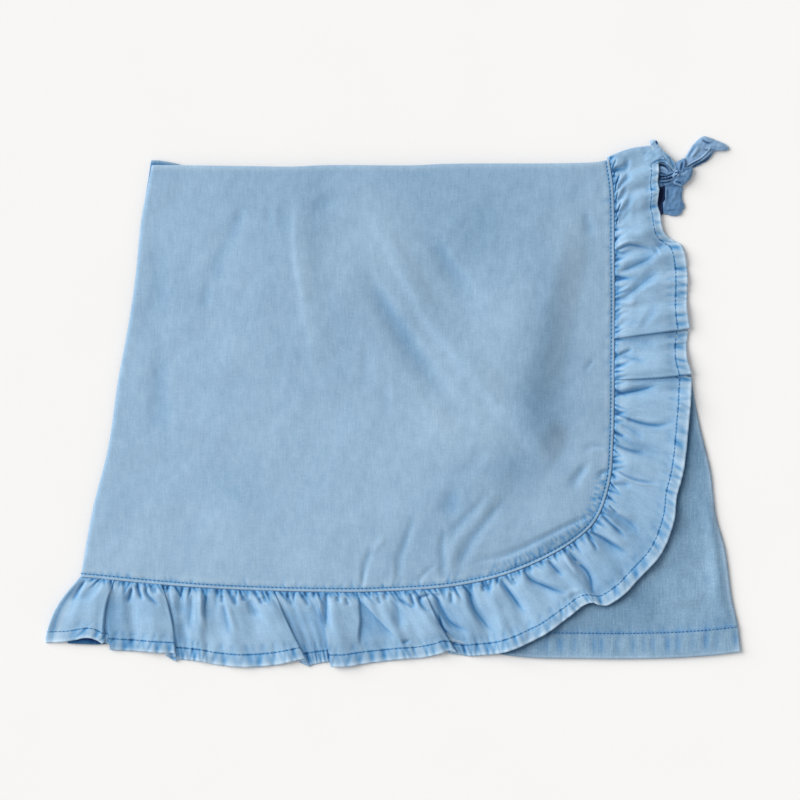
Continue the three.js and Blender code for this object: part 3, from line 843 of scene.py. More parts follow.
@dataclass
class WrapPanel:
    """The wrap: a smooth panel with turned edges, whose right and lower edge carry the ruffle."""

    level: float = 4.2  # height of its face along the seam
    puff: float = 3.2  # how far its middle stands above that
    puff_in: tuple[float, float, float] = (26.0, 90.0, 60.0)  # in from seam, side and top
    crease: float = 2.0  # height of the creases
    thick: float = 0.8
    border: float = 14.0  # width of the finely divided strip along the seam
    corner: float = 236.0  # distance along the seam to the middle of its corner
    side_steps: int = 139  # double steps along the seam before the corner
    foot_steps: int = 204  # double steps after it
    border_rows: int = 22
    side_roll: float = 2.8  # radius of the fold at the left side
    top_roll: float = 0.35  # radius of the turned top edge
    edge_roll: float = 0.4  # radius of the edge along the seam
    stitch_in: float = 2.3  # distance of the stitching from the seam edge
    fine: Ticks = Ticks(4.4, (3.5, 8.0), 0.8, 0.3, 11)  # small puckers of the whole seam
    wide: Ticks = Ticks(8.2, (5.0, 11.0), 1.9, 0.4, 14)  # soft ones between them
    long: Ticks = Ticks(7.5, (7.0, 13.0), 1.2, 0.5, 12)  # long ones of the corner and foot
    long_span: tuple[float, float] = (210.0, 480.0)  # where these are, along the seam
    ends: float = 12.0  # how far the strip's ends bend to the panel's corners

    def border_grid(self) -> tuple[Array, Array, Array]:
        """The strip: seam + inward normal * w, bent to the top and side edges at its ends.

        Returns:
            Distances of its columns along the seam, of its rows in from it, and its points.
        """
        before = np.linspace(0.0, self.corner, 2 * self.side_steps + 1)
        after = np.linspace(self.corner, SEAM.length, 2 * self.foot_steps + 1)
        along = np.concatenate([before, after[1:]])
        t = np.linspace(0.0, 1.0, self.border_rows + 1)
        inward = self.border * (0.55 * t + 0.45 * t**2)
        normal = SEAM.tangent(along)[:, ::-1] * (1, -1)
        made = SEAM.at(along)[None] + normal[None] * inward[:, None, None]
        first, last = made[:, :1], made[:, -1:]
        start = PANEL_TOP.at(PANEL_TOP.length - inward)[:, None] - first
        end = PANEL_SIDE.at(PANEL_SIDE.length - inward)[:, None] - last
        near_start = (1 - ease(along, 0.0, self.ends))[None, :, None]
        near_end = ease(along, SEAM.length - self.ends, SEAM.length)[None, :, None]
        return along, inward, made + near_start * start + near_end * end

    def height(self, x: Array, y: Array) -> tuple[Array, Array, Array]:
        """Height, paleness and shade of the face, without what follows the seam.

        A puff that eases in from every edge, the creases, and a gentle drift, less the
        quarter-round falls of the fold at the left and of the turned top.

        Args:
            x: first coordinates of the places.
            y: second coordinates.

        Returns:
            The height, and the pale and shade marks.
        """
        to_seam = SEAM.distance_to(x, y, 420)
        to_side = PANEL_SIDE.distance_to(x, y, 160)
        to_top = PANEL_TOP.distance_to(x, y, 120)
        inside = 1.0 - np.exp(-to_seam / self.puff_in[0])
        inside *= 0.3 + 0.7 * ease(to_side, 0.0, self.puff_in[1])
        inside *= 0.55 + 0.45 * ease(to_top, 0.0, self.puff_in[2])
        held = ease(to_side, 0.0, 14.0) * ease(to_top, 0.0, 9.0) * ease(to_seam, 0.5, 3.0)
        creases, nip = lay_creases(PANEL_CREASES, x, y)
        swell = 0.25 * drift(x, y, 46.0, 3) + 0.07 * drift(x, y, 15.0, 4)
        fall = np.maximum(0.4 * roll(to_side, self.side_roll), 0.6 * roll(to_top, self.top_roll))
        z = self.level + self.puff * inside + (self.crease * creases + swell) * held - fall
        # Paler along the turned top and the left fold: partly rubbing, partly a painted highlight
        # on the rounded edges. Paler on crease crests, partly rubbing, and darker in their hollows
        # as painted shade.
        pale = 0.05 * bell(to_side - 1.5, 3.5) + 0.25 * bell(to_top - 0.8, 1.8)
        pale += 0.3 * np.clip(creases, -0.8, 0.5) * held
        shade = 0.22 * nip + 0.1 * bell(to_side - 0.6, 2.6) + spots(PANEL_SHADES, x, y)
        return z, pale, shade

    def seam_relief(self, along: Array, inward: Array) -> tuple[Array, Array, Array]:
        """What follows the seam: its rolled edge, the stitch groove and the puckers.

        Args:
            along: distance along the seam.
            inward: distance in from it.

        Returns:
            The rise, and the pale and deep marks.
        """
        fade = 1.0 - ease(inward, 9.0, self.border - 1.0)
        foot = ease(along, 190.0, 250.0)
        puckers = self.fine.lay(along, inward, 0.0, SEAM.length) * (0.35 + 0.65 * foot)
        puckers += 0.7 * self.wide.lay(along, inward, 0.0, SEAM.length)
        puckers += 0.8 * self.long.lay(along, inward, *self.long_span)
        puckers *= ease(inward, 2.0, 3.4)
        groove = bell(inward - self.stitch_in, 0.45)
        beat = stitch_beat(along)
        uneven = drift(along, inward * 0, 9.0, 15)
        rise = -roll(inward, self.edge_roll) - 0.2 * groove * (0.5 + 0.5 * beat)
        rise += 0.12 * bell(inward - 4.2, 1.6) - 0.48 * puckers * fade
        rise += (0.07 * beat + 0.07 * uneven) * bell(inward - 1.1, 0.8)
        pale = (0.2 + 0.12 * uneven + 0.12 * beat) * bell(inward - 0.6, 0.35)
        pale += 0.1 * bell(inward - 5.0, 2.0) * (1 - puckers)
        band = plateau(along, 195.0, 215.0, 290.0, 330.0) * bell(inward - 6.0, 3.6)
        mottle = np.clip(0.45 + 0.8 * drift(along, 0.35 * inward, 2.4, 16), 0.0, 1.0)
        deep = 0.5 * band * mottle + 0.5 * puckers * fade + 0.6 * groove
        deep += 0.3 * (1 - beat) * bell(inward - 1.9, 0.5)
        return rise, pale, np.clip(deep, 0.0, 1.0)

    def build(self) -> None:
        """The strip along the seam and a filled middle, welded row to row, and its stitches."""
        along, inward, flat = self.border_grid()
        z, pale, shade = self.height(flat[..., 0], flat[..., 1])
        rise, seam_pale, deep = self.seam_relief(*np.meshgrid(along, inward))
        strip = with_height(flat, z + rise)
        inner = flat[-1, ::2]
        right, bottom = inner[: self.side_steps + 1], inner[self.side_steps :][::-1]
        reach = PANEL_SIDE.length - self.border, PANEL_TOP.length - self.border
        left = PANEL_SIDE.at(np.linspace(0.0, reach[0], len(right)))
        top = PANEL_TOP.at(np.linspace(0.0, reach[1], len(bottom)))
        flat = coons(left, right, top, bottom)
        mz, mpale, mshade = self.height(flat[..., 0], flat[..., 1])
        # The strip's last row would double the middle's edge, so it is left out.
        kept = strip[:-1].reshape(-1, 3)
        rows = np.arange(len(kept)).reshape(strip.shape[0] - 1, -1)
        middle = len(kept) + np.arange(mz.size).reshape(mz.shape)
        joint = np.concatenate([middle[:, -1], middle[-1, -2::-1]])
        faces = [grid_faces(rows), grid_faces(middle), *halving_faces(rows[-1], joint)]
        rim = [rows[0, ::-1], rows[1:, 0], middle[0, ::-1], middle[1:, 0], rows[:0:-1, -1]]
        points = np.concatenate([kept, with_height(flat, mz).reshape(-1, 3)])
        pairs = {
            "pale": (pale + seam_pale, mpale), "deep": (deep, 0 * mz), "shade": (shade, mshade)
        }
        marks = {
            name: np.concatenate([first[:-1].ravel(), second.ravel()])
            for name, (first, second) in pairs.items()
        }
        cloth = Cloth(
            "wrap_panel_cloth", points, faces, np.concatenate(rim), points[:, :2], self.thick, marks
        )
        piece = cloth.build(WRAP_DENIM, "denim_wrap", "wrap_panel")
        place = np.interp(self.stitch_in, inward, np.arange(len(inward)))
        low = int(place)
        line = strip[low] + (strip[low + 1] - strip[low]) * (place - low)
        Stitches(line, strip[low - 2] - strip[low + 2]).build("wrap_seam_stitches", "denim_wrap")


# ---- the ruffle ----


class OnTop(Enum):
    """Which side of a pleat lies on top: the cloth before its edge or after it."""

    BEFORE = 1
    AFTER = -1


@dataclass(frozen=True)
class Pleat:
    """A fold where the ruffle doubles back under itself."""

    seam: float  # where its edge leaves the seam
    on_top: OnTop  # the side that covers
    depth: float  # how far the cloth runs back underneath, at the hem
    bow: float = 0.0  # how far its edge bends along the seam halfway out
    peek: float = -3.0  # how far hidden layers reach past the hem, drawn back where below 0
    cast: float = 5.0  # width of the soft shade beside its edge


PLEATS = (
    Pleat(115.5, OnTop.BEFORE, 4.0, cast=2.5),
    Pleat(142.0, OnTop.BEFORE, 4.0, 0.8, cast=2.5),
    Pleat(360.0, OnTop.AFTER, 4.5, 1.0, 0.8, 12.0),
    Pleat(429.0, OnTop.BEFORE, 5.0, -0.8, -2.0, 7.0),
    Pleat(457.0, OnTop.AFTER, 4.5, 0.8, 1.0, 9.0),
    Pleat(530.0, OnTop.AFTER, 5.5, -2.2, 2.0, 6.0),
    Pleat(561.0, OnTop.AFTER, 5.0, 2.4, -4.0, 7.0),
)

# The hem between pleats: place along the seam, and where the line that leaves it there ends.
HEM = """
-2 169 165.5  4 171.6 160.5  10 172.2 155  18 172.4 148.5  24 171.8 143  31 172.6 136.5
36 172 131.5  40 171.8 127.5  45 173.5 121.5  49 173.9 117  57 177.5 107.5  61 182.5 104
64 186.4 102.2  68 188.9 97.5  74 190.7 88.5  83 191.2 79.5  92 191.1 70  104 190.9 60.5
115.5 192.7 47.6

115.5 192 46  124 190.8 38  133 191 28  142 193.9 18

142 194.2 16  151 193.5 6.5  158 193 -2  166 192 -13  170 191.5 -19  182 189 -42  191 187 -51
202 184 -62  213 182.5 -76  226 176.5 -94  236 169.5 -104.5  242 160 -114.5  251 150 -125
256 144 -129.5  261 138.5 -132.3  265 134 -131.6  270 130.2 -130.4  277 124 -132  284 117.5 -137
292 110.5 -142.5  299 101 -149.5  308 90 -155.5  318 79 -160.5  331 66 -164  339 58.5 -164.5
350 49.5 -165.2  360 42 -163.8

360 40.6 -162.2  364 36.7 -161.6  370 31 -163.6  382 18 -166.5  392 8.5 -167  403 -4 -168.5
412 -17.5 -170  421 -30 -172  429 -39.8 -172.2

429 -40 -168.6  443 -47.4 -169.8  457 -54 -171.4

457 -57 -166.8  466 -66.5 -169  476 -76 -171  489 -97 -172.4  500 -116 -170.6  507 -123 -169
517 -131 -168  530 -140.8 -167.2

530 -141.8 -163.4  541 -156.5 -162.8  550 -168.5 -161.9  561 -184 -161.2

561 -188.4 -157  565 -192.5 -154.6  571 -200 -153.3  576 -211 -155.6  582.5 -226 -156.6
"""
HEM_STRETCHES = [rows_of(part, 3) for part in HEM.split("\n\n")]

# How the ruffle rises and falls along the seam: crown a third of the way out, rim at the hem.
SWELLS = """
0 1.2 0.6  10 0.2 0.3  18 2 1  24 0.4 0.4  31 1.8 1  40 0.3 0.3  55 2.2 1.8  61 0.1 0.3  68 2 1.6
76 0.8 1  84 1.8 1.6  93 0.8 1  104 1.4 1.4  118 0.6 0.6  133 1.4 1.2  148 0.5 0.7  158 1.4 1.2
166 0.8 0.8  176 1.4 1.2  182 0.8 0.8  191 1.6 1.6  202 0.9 0.9  213 1.6 1.4  228 0.6 0.8
236 1.8 1.6  242 0.5 0.6  251 1.9 1.6  261 0.3 0.1  270 1.9 1.5  277 1 0.9  284 1.9 1.4
291 0.5 0.5  299 1.8 1.4  307 0.6 0.6  318 1.9 1.6  330 0.5 0.5  340 1.8 1.3  352 0.6 0.3
372 1.6 1.4  382 0.9 0.8  392 1.4 1.3  404 0.5 0.4  416 1.4 1.2  426 0.6 0.8  443 0.3 0.3
457 0.3 0.4  466 1.4 1.1  477 0.7 0.8  489 1.5 1.3  502 0.5 0.6  507 1.5 1.2  519 0.5 0.4
530 0.6 0.5  541 1.3 1  550 0.6 0.7  558 1 0.8  571 1.6 1.6  582.5 0.6 0.4
"""

# Soft tones of the ruffle: place along the seam, way out, half sizes, and shade, or light
# where below 0.
RUFFLE_TONES = """
229.5 29 5 6 0.13  247 32 6 9 0.13  184 17 12 13 0.13  259 36 9 8 0.13  88 38 24 7 -0.18
492 36 32 10 -0.12  546 38 14 8 -0.12  571 38 10 8 -0.08
"""

# Folds of the ruffle, in millimetres along the seam and out from it.
RUFFLE_CREASES = """
6.5,0.5 0,8 | -0.4 0.8 0.6
12.7,0.5 6,6 | -0.5 0.9 0.6
7,3 7.5,14 1.5,21 | -1.3 4 0.3
23,0.5 16,4 10,9.5 | -0.8 1.2 0.9
29,0.6 21,5.5 | -0.5 0.9 0.7
33,0.6 26,3.5 | -0.4 0.8 0.6
37.5,1 28.5,8.5 | -0.7 1.1 0.8
44,1 37.5,5 | -0.5 0.9 0.6
19.5,5 12.5,21 | -1 4 0.1
29,4 20,16 | -0.8 4
38,5 27,23 | -0.8 4.5
42,4 35,21 | -0.6 5
59,1 57.5,15 64,31 | -1.2 4 3 0.5
57,2 56,15 60,29 | 1 2.5 4 0
64,29 64.5,33 | -0.8 4
64,33 60,41 | -0.8 4 0.2
73,4 68,25 64,33 | -1.1 7 4 0.3
91,5 83,18 74,32 | -1 6 5 0.2
94,3 94.5,16 | 0.6 3
105,4 110,16 | -0.5 4
110,19 98,30 | -0.4 5
117,4 125,27 | -0.5 5
127,3 124,13 | -0.7 3 0.4
128,5 133.5,23 | -0.6 4 0.2
120,20 125,30 | -0.3 4
152,4 150,15 147,28 | -1.1 4 5 0.6
165,1.5 168.6,15 169.3,29 166.5,40 | -0.9 2.5 3 0.7
166.5,2 168,11 | 0.7 2.5
171,4 176,21 | -0.7 4 0.2
182,2 183,11 180.5,25 181,39 | -0.4 5 6 0
184.5,2.3 184.5,12 182.5,24 | -0.7 2 2.5 0.4
177,1.5 177.7,8 | -0.5 1.2 0.6
191,5 192,34 | 0.5 8
202.2,1.8 203.3,18 199.5,37 | 0.5 1.2
200.3,2 201.5,18 197.8,36 | -0.5 1.8 1.5 0.3
209.5,3 205,16 | -0.6 3 0.3
223,1 223,25 | 0.9 4
223,3.5 224,7.6 224.7,12 | -0.6 1.5 0.6
226,4 226,25 230,30 | -1.1 3 8 0.2
231,2.6 232.7,13 234,24 | -0.8 2 2.5 0.6
238,2 238,29 | 0.9 3 2.5 0
243.5,2 241.5,9 240,19 239,32 | -1.1 1.5 6 0.8
246.7,3.3 247,9.4 247.7,16 | -0.7 1.5 2 0.5
262,3 261.3,12.7 259.4,23.7 264.8,40.6 | -1.2 4 0.8
266,5 265.5,14 265,24 | 0.7 3
276.6,2.5 276.3,11.6 275.7,21 | -1 3.5 4 0.6
273,37 278,35 283,34 | 0.4 4
293.6,2.5 293,10.8 288.8,19 280,35 | -1.3 4 0.8
302,4 302,10 | -0.7 3 0.3
309.3,2 307,16.6 304.6,31 | -1.2 4 0.8
318,3 318,8 | -0.7 2.5 0.3
322,3 322,8 | -0.7 2.5 0.3
331,3 332.5,17 329,29 325,36 | -1.3 6 4 0.5
343,4 346,13 | -0.8 3 0.3
340,3 342,13 | 0.5 3
353,4 354,15 352,25 340,33 | -1.3 4 5 0.4
350,3.5 358,2.5 | 0.6 2
357,4 365,7 366,12 364,17 361,16 | -0.9 3 0.5
358,19 360,29 357,40 362,42 | -1 3 4 0.5
369,2 371,14 | -1 3 0.6
371,14 379,5 | -0.7 3 0.4
380,4 382,15 388,30 | -0.8 5 0.1
386,2 386,7 | -0.6 2.5 0.3
391,4 391,10 | -0.6 2.5 0.3
384,36 390,38 | -0.6 3 0.3
403,6 397,22 391,37 | -1.2 1.2 12 0.2
403.5,6 407,20 410,29 412,39 | -1.3 9 1 0.2
411,4 411,10 | -0.6 2.5 0.3
416,3 416,7 | -0.6 2.5 0.3
423,2 426,15 427.5,25 | -1.2 4 0.5
439,2 436,11 | -0.8 3 0.4
448.5,2 448.5,11 | -0.7 3 0.3
465,4 465,9 | -0.7 2.5 0.3
468,5 468,10 | -0.7 2.5 0.3
475,6 475,19 | -0.9 5 0.1
478,4 478,8 | -0.7 2.5 0.3
484,4 484,11 | -0.7 2.5 0.3
491,4 492,10 | -0.7 2.5 0.3
491.5,9 491.5,30 | -0.6 3 4 0.2
489,10 489,29 | 0.4 3
500,4 503,15 502,23 | -1 7 2.5 0.3
504.5,4 504,30 | 0.8 2.5 4 0
510,4 512,15 516,30 | -0.7 4 5 0.1
521,25 521,40 | -0.5 7
518,3 518,21 | -0.8 6
534,3 534,7 | -0.6 2.5 0.3
539.5,2 540,7 533,16 | -1 3 0.5
546,2 543,13 | -0.9 3 0.5
549,4 552,16 | -1 3 0.6
570,4 578,21 | -0.6 5
578.6,2.5 580.2,10 581.4,20 | -1.1 3 4 0.8
"""

# The ruffle's pieces, with the flat size of each in metres.
RUFFLE_SHEETS = {
    "ruffle_side_cloth": (0.175, 0.054),
    "ruffle_corner_cloth": (0.29, 0.054),
    "ruffle_foot_cloth": (0.34, 0.054),
}


@dataclass
class Ruffle:
    """One long strip gathered into the seam, with a narrow turned hem and seven pleats.

    A point lies at the seam point plus v times the way to the hem point of the same place.
    """

    level: float = 3.05  # height of its face under the seam edge
    body: float = 3.75  # height of its face in its width, before swells
    thick: float = 0.55
    hem_thick: float = 1.0
    tucked_thick: float = 0.42  # of a pleat's hidden layers
    step: float = 0.75  # height from one layer of a pleat to the next
    pitch: float = 0.55  # spacing of the columns along the seam
    rows: int = 84  # from the seam to the hem
    tuck: float = 1.6  # how far it runs in under the wrap's edge
    hem_in: float = 0.835  # share of the width where the hem begins
    sewn_in: float = 0.847  # share of the width where it is stitched
    depth: float = 49.0  # usual width
    sag: float = 3.0  # how far the hem sinks where no leg lies below it
    hem_from: tuple[float, float] = (10.0, 16.0)  # where it comes out from under the strap
    gain: float = 1.5  # height of the swells and folds
    bow_reach: float = 9.0  # how far beside a pleat its bow is felt
    end_bows: tuple[float, float] = (-1.9, 4.4)  # bows of the strip's two ends
    fine: Ticks = Ticks(4.2, (4.0, 16.0), 0.85, 0.5, 21)  # small gathers
    long: Ticks = Ticks(8.5, (8.0, 24.0), 1.5, 0.4, 22)  # long gathers
    upright: Ticks = Ticks(5.2, (8.0, 9.0), 1.2, 0.0, 23)  # puckers straight across the hem
    slanting: Ticks = Ticks(6.1, (8.0, 9.0), 1.2, 0.0, 24)  # puckers that lean

    def columns(self) -> Array:
        """Every column of the grid in order along the cloth.

        Returns:
            Rows of the place along the seam, the shift along it in pleat depths, the bend in
            bend radii, the layer (0 lowest, 2 on top, none between pleats), the pleat's number
            or -1, the hem stretch, and the share of the stretch after it.
        """
        blocks = []
        stops = [-2.0, *[pleat.seam for pleat in PLEATS], SEAM.length]
        for k, (start, end) in enumerate(zip(stops, stops[1:])):
            count = max(2, int(round((end - start) / self.pitch)) + 1)
            places = np.linspace(start, end, count)[(k > 0) : count - (k < len(PLEATS))]
            plain = (np.full(len(places), value) for value in (0, 0, np.nan, -1, k, 0))
            blocks.append(np.stack([places, *plain]))
            if k < len(PLEATS):
                blocks.append(self.pleat_columns(k))
        return np.concatenate(blocks, axis=1)

    @staticmethod
    def pleat_columns(k: int) -> Array:
        """A pleat's columns: top layer edge, bend, way back, bend, way on.

        Each bend is a half circle. The profile runs from the top layer down, and is turned
        round where the cloth after it is on top.

        Args:
            k: the pleat's number.

        Returns:
            The same rows as of columns.
        """
        turn, flat = np.linspace(0.0, math.pi, 6), np.linspace(0.0, 1.0, 7)
        level, low = 0 * flat, 0.25
        shift = [0 * turn, -flat[1:-1], -1 + 0 * turn, -1 + flat[1:]]
        bend = [1.7 * np.sin(turn), level[1:-1], -0.3 * np.sin(turn), level[1:]]
        high = 1 + low / 2 + (1 - low / 2) * np.cos(turn)
        layer = [high, low + level[1:-1], low / 2 + low / 2 * np.cos(turn), level[1:]]
        side = PLEATS[k].on_top.value
        rows = np.stack([np.concatenate(part) for part in (shift, bend, layer)])[:, ::side]
        cross = np.linspace(0.0, 1.0, rows.shape[1])
        seam = np.full(len(cross), PLEATS[k].seam)
        number = np.full(len(cross), k)
        return np.stack([seam, side * rows[0], side * rows[1], rows[2], number, number, cross])

    @staticmethod
    def hem(seam: Array, stretch: Array, cross: Array) -> Array:
        """Hem points: the stretch's own curve, and a mix of two stretches inside a pleat.

        Args:
            seam: places along the seam.
            stretch: the stretch of each.
            cross: the share of the stretch after it.

        Returns:
            A point for each place.
        """
        made = np.zeros((len(seam), 2))
        for k, table in enumerate(HEM_STRETCHES):
            own = (stretch == k) * (1 - cross) + (stretch == k - 1) * cross
            made += hermite(table[:, 0], table[:, 1:], seam) * own[:, None]
        return made

    @staticmethod
    def lift(seam: Array) -> Array:
        """How high the cloth stands because a pleat beside it is on top.

        Args:
            seam: place of each column along the seam.

        Returns:
            Layers below each column's cloth.
        """
        total = np.zeros(len(seam))
        for pleat in PLEATS:
            behind = (pleat.seam - seam) * pleat.on_top.value
            fall = 1.0 - ease(behind, pleat.depth, pleat.depth + 14.0)
            total = np.maximum(total, 2.0 * (behind > 0) * fall)
        return total

    def droop(self, seam: Array) -> Array:
        """How far the hem sinks towards the surface: most where no leg lies below it."""
        side = plateau(seam, 26.0, 54.0, 135.0, 160.0)
        return self.sag * np.maximum(side, ease(seam, 318.0, 345.0))

    def build(self) -> None:
        """Works out the whole strip as one grid, and makes it in three pieces cut at pleats."""
        seam, back, bend, layer, pleat, stretch, cross = self.columns()
        folded = pleat >= 0
        facts = np.array([(fold.depth, fold.bow, fold.peek) for fold in PLEATS])
        depth, bow, peek = facts[np.maximum(pleat, 0).astype(int)].T
        v = np.concatenate([[-self.tuck / self.depth], np.linspace(0.0, 1.0, self.rows + 1)])
        bow = bow * folded
        for fold in PLEATS:
            beside = 1.0 - ease(np.abs(seam - fold.seam), 0.0, self.bow_reach)
            bow += fold.bow * beside * ~folded
        bow += self.end_bows[0] * (1 - ease(seam, -2.0, self.bow_reach))
        bow += self.end_bows[1] * ease(seam, 566.0, SEAM.length)
        shift = (back * depth)[:, None] * (0.55 + 0.45 * ease(v, 0.0, 0.8))
        shift += (bend * self.step / 2)[:, None]
        shift += bow[:, None] * np.sin(np.pi * np.clip(v, 0, 1))
        hidden = np.nan_to_num(folded * np.clip((2.0 - layer) / 1.2, 0.0, 1.0))
        peek = np.where(peek > 0, peek * (1.0 - np.abs(back)), peek)
        reach = 1.0 + hidden * peek / self.depth
        tangent = SEAM.tangent(np.maximum(seam, 0.0))
        start = SEAM.at(np.maximum(seam, 0.0)) + tangent * np.minimum(seam, 0.0)[:, None]
        way = self.hem(seam, stretch, cross) - start
        flat = start[:, None] + way[:, None] * (reach[:, None] * v)[..., None]
        flat += tangent[:, None] * shift[..., None]
        layer = np.where(folded, layer, self.lift(seam))
        s = seam[:, None] + shift
        out = np.broadcast_to(v * self.depth, s.shape)
        z, pale, deep, shade = self.relief(s, out, seam)
        z += layer[:, None] * self.step * (0.35 + 0.65 * ease(v, 0.0, 0.3))
        face = with_height(flat, z)
        hemmed = ease(out / self.depth, self.hem_in - 0.01, self.hem_in + 0.02)
        thick = self.thick + (self.hem_thick - self.thick) * hemmed
        thick = np.where((hidden > 0.5)[:, None], self.tucked_thick, thick)
        run = np.broadcast_to(run_of(face[:, 40])[:, None], out.shape)
        pale += 0.2 * ((layer > 1.9) & folded)[:, None]
        # The pieces meet in the hidden layer of the second and third pleats.
        cuts = [int(np.median(np.flatnonzero(pleat == k))) for k in (1, 2)]
        for name, first, last in zip(RUFFLE_SHEETS, [0, *cuts], [*cuts, len(seam) - 1]):
            grids = (face, np.stack([run, out], -1), thick, pale, deep, shade)
            own = [grid[first : last + 1] for grid in grids]
            cloth = Cloth.on_grid(name, *own[:3], pale=own[3], deep=own[4], shade=own[5])
            piece = cloth.build(RUFFLE_DENIM, "denim_wrap", "ruffle")
        row = int(np.argmin(np.abs(v - self.sewn_in)))
        face = face[seam > self.hem_from[0]]
        across = face[:, row + 2] - face[:, row - 2]
        Stitches(face[:, row], across).build("ruffle_hem_stitches", "denim_wrap")

    def relief(self, s: Array, out: Array, seam: Array) -> tuple[Array, ...]:
        """Height of the lowest layer's face, and the pale, deep and shade marks.

        The height climbs out from under the seam edge, follows the swells, takes the folds and
        the gathers, droops where nothing lies below, and steps up at the stitched hem.

        Args:
            s: place along the seam of each point.
            out: distance out from the seam.
            seam: place of each column along the seam.

        Returns:
            The height and the three marks.
        """
        v = out / self.depth
        table = rows_of(SWELLS, 3)
        crown, rim = hermite(table[:, 0], table[:, 1:], s.ravel()).T.reshape(2, *s.shape)
        outward = ease(v, 0.3, 1.0)
        rim = rim + 0.8 * plateau(s, 185.0, 215.0, 315.0, 340.0)
        rise = (crown * (1 - outward) + rim * outward) * ease(v, 0.0, 0.3) * 0.8
        z = self.level + (self.body - self.level) * ease(out, 0.0, 1.2) + self.gain * rise
        folds, nip = lay_creases(RUFFLE_CREASES, s, out)
        z += (self.gain * folds - 0.55 * nip) * ease(out, 0.4, 4.0)
        ridge, hollow = np.maximum(folds, 0), np.maximum(-folds, 0)

        fine = self.fine.lay(s, out, -1.0, SEAM.length)
        long = self.long.lay(s, out, 0.0, SEAM.length)
        gather, near = ease(out, 0.0, 0.9), 1 - ease(out, 4.5, 16.0)
        z += gather * ((0.9 - 1.1 * np.minimum(fine, 1.1)) * near - 0.95 * long)
        z += 0.14 * drift(s, out, 17.0, 5) * ease(out, 3.0, 12.0)
        z += 0.3 * drift(s, 0.2 * out, 9.0, 6) * ease(out, 2.0, 9.0) * (1 - ease(v, 0.8, 1.0))

        past_end = ease(s, *self.hem_from)
        hemmed = ease(v, self.hem_in - 0.012, self.hem_in + 0.008) * past_end
        ones = np.ones_like(out)
        puckers = 0.75 * self.upright.lay(s, ones, -2.0, SEAM.length)
        puckers += 0.65 * self.slanting.lay(s - 0.4 * (out - 43), ones, -2.0, SEAM.length)
        puckers = np.clip(puckers, 0, 1.2)
        by_hem = puckers * bell(v - self.hem_in + 0.06, 0.06)
        sewn = bell(v - self.sewn_in, 0.012) * past_end
        z += hemmed * (0.5 - 0.62 * puckers) - 0.35 * by_hem - 0.3 * sewn

        droop = self.droop(seam)[:, None]
        z -= droop * ease(v, 0.55, 1.0)
        # The fold line near the strip's end: a shallow groove with painted shade along it, and a
        # paler band inside it as a painted highlight.
        end = 2.0 * (1 - 0.15 * v) - (SEAM.length - seam[:, None])
        end_line = bell(end - 0.2, 0.6) * ease(v, 0.03, 0.12)
        z -= 0.2 * end_line
        low = self.thick + 2.35 - 2.2 * droop / self.sag * ease(v, 0.6, 0.85)

        pale = 0.65 * bell(v - 1.0, 0.036) + 0.25 * np.minimum(ridge, 1)
        pale += hemmed * (0.24 - 0.1 * ease(s, 290.0, 330.0) - 0.4 * puckers)
        pale += 0.3 * bell(end + 1.6, 0.8) * ease(v, 0.1, 0.3)
        pale += 0.25 * gather * near * (0.5 - fine)
        # The deep mark: the cloth's own darker blue in gather troughs, hem puckers and along the
        # stitching; a darker blue right by the seam; and painted shade where folds close, in crease
        # hollows and along the fold line at the end.
        deep = gather * (0.7 * fine * near + 0.4 * long + 0.35 * (1 - ease(out, 0.8, 5.0)))
        deep += 0.42 * hemmed * puckers + 0.25 * by_hem + 0.5 * sewn + 0.35 * end_line
        deep += 0.45 * nip + 0.22 * np.minimum(hollow, 1.2)
        deep += 0.6 * stitch_beat(s) * bell(out - 0.5, 0.5)
        shade = 0.22 * nip + 0.1 * np.minimum(hollow, 1) + 0.1 * fine * near + 0.12 * sewn
        shade += 0.06 * end_line
        # Painted shade beside each pleat's edge, on the cloth below it: darker and a deeper blue.
        for pleat in PLEATS:
            off = (seam - pleat.seam)[:, None] * pleat.on_top.value
            beside = (off >= 0) * np.exp(-np.abs(off) / pleat.cast) * ease(v, 0.05, 0.4)
            shade += 0.2 * beside
            deep += 0.28 * beside
        shade += 0.1 * plateau(s, 200.0, 220.0, 255.0, 280.0) * (1 - hemmed)
        shade += spots(RUFFLE_TONES, s, out)
        return np.maximum(z, low), pale, np.minimum(deep, 0.85), np.minimum(shade, 0.45)


# ---- the shorts ----


class Side(Enum):
    """A leg's side, as the garment lies front up."""

    LEFT = -1
    RIGHT = 1


LEG_OUTER = {
    Side.LEFT: rows_of("""
-152 148.5  -156.5 128  -162.5 79  -167.5 46  -173.5 14  -180 -30  -190 -70  -199 -114  -211 -157
""", 2),
    Side.RIGHT: rows_of("""
160 148.5  163 128  167 108  173 85  180 59  187.5 38  190.9 29  193 20  196.2 0  199.8 -18
206.6 -46.5  208 -59  210 -75  216 -97  220.4 -129  224 -145  226.1 -162.4
""", 2),
}
LEG_FOOT = {
    Side.LEFT: rows_of("""
-211 -157  -189 -157.4  -170 -154  -60 -152  3 -152
""", 2),
    Side.RIGHT: rows_of("""
226.1 -162.4  208 -164.6  183 -166.3  150 -167  125 -166.8  89 -166.1  69 -163.7  45 -157
13 -152
""", 2),
}


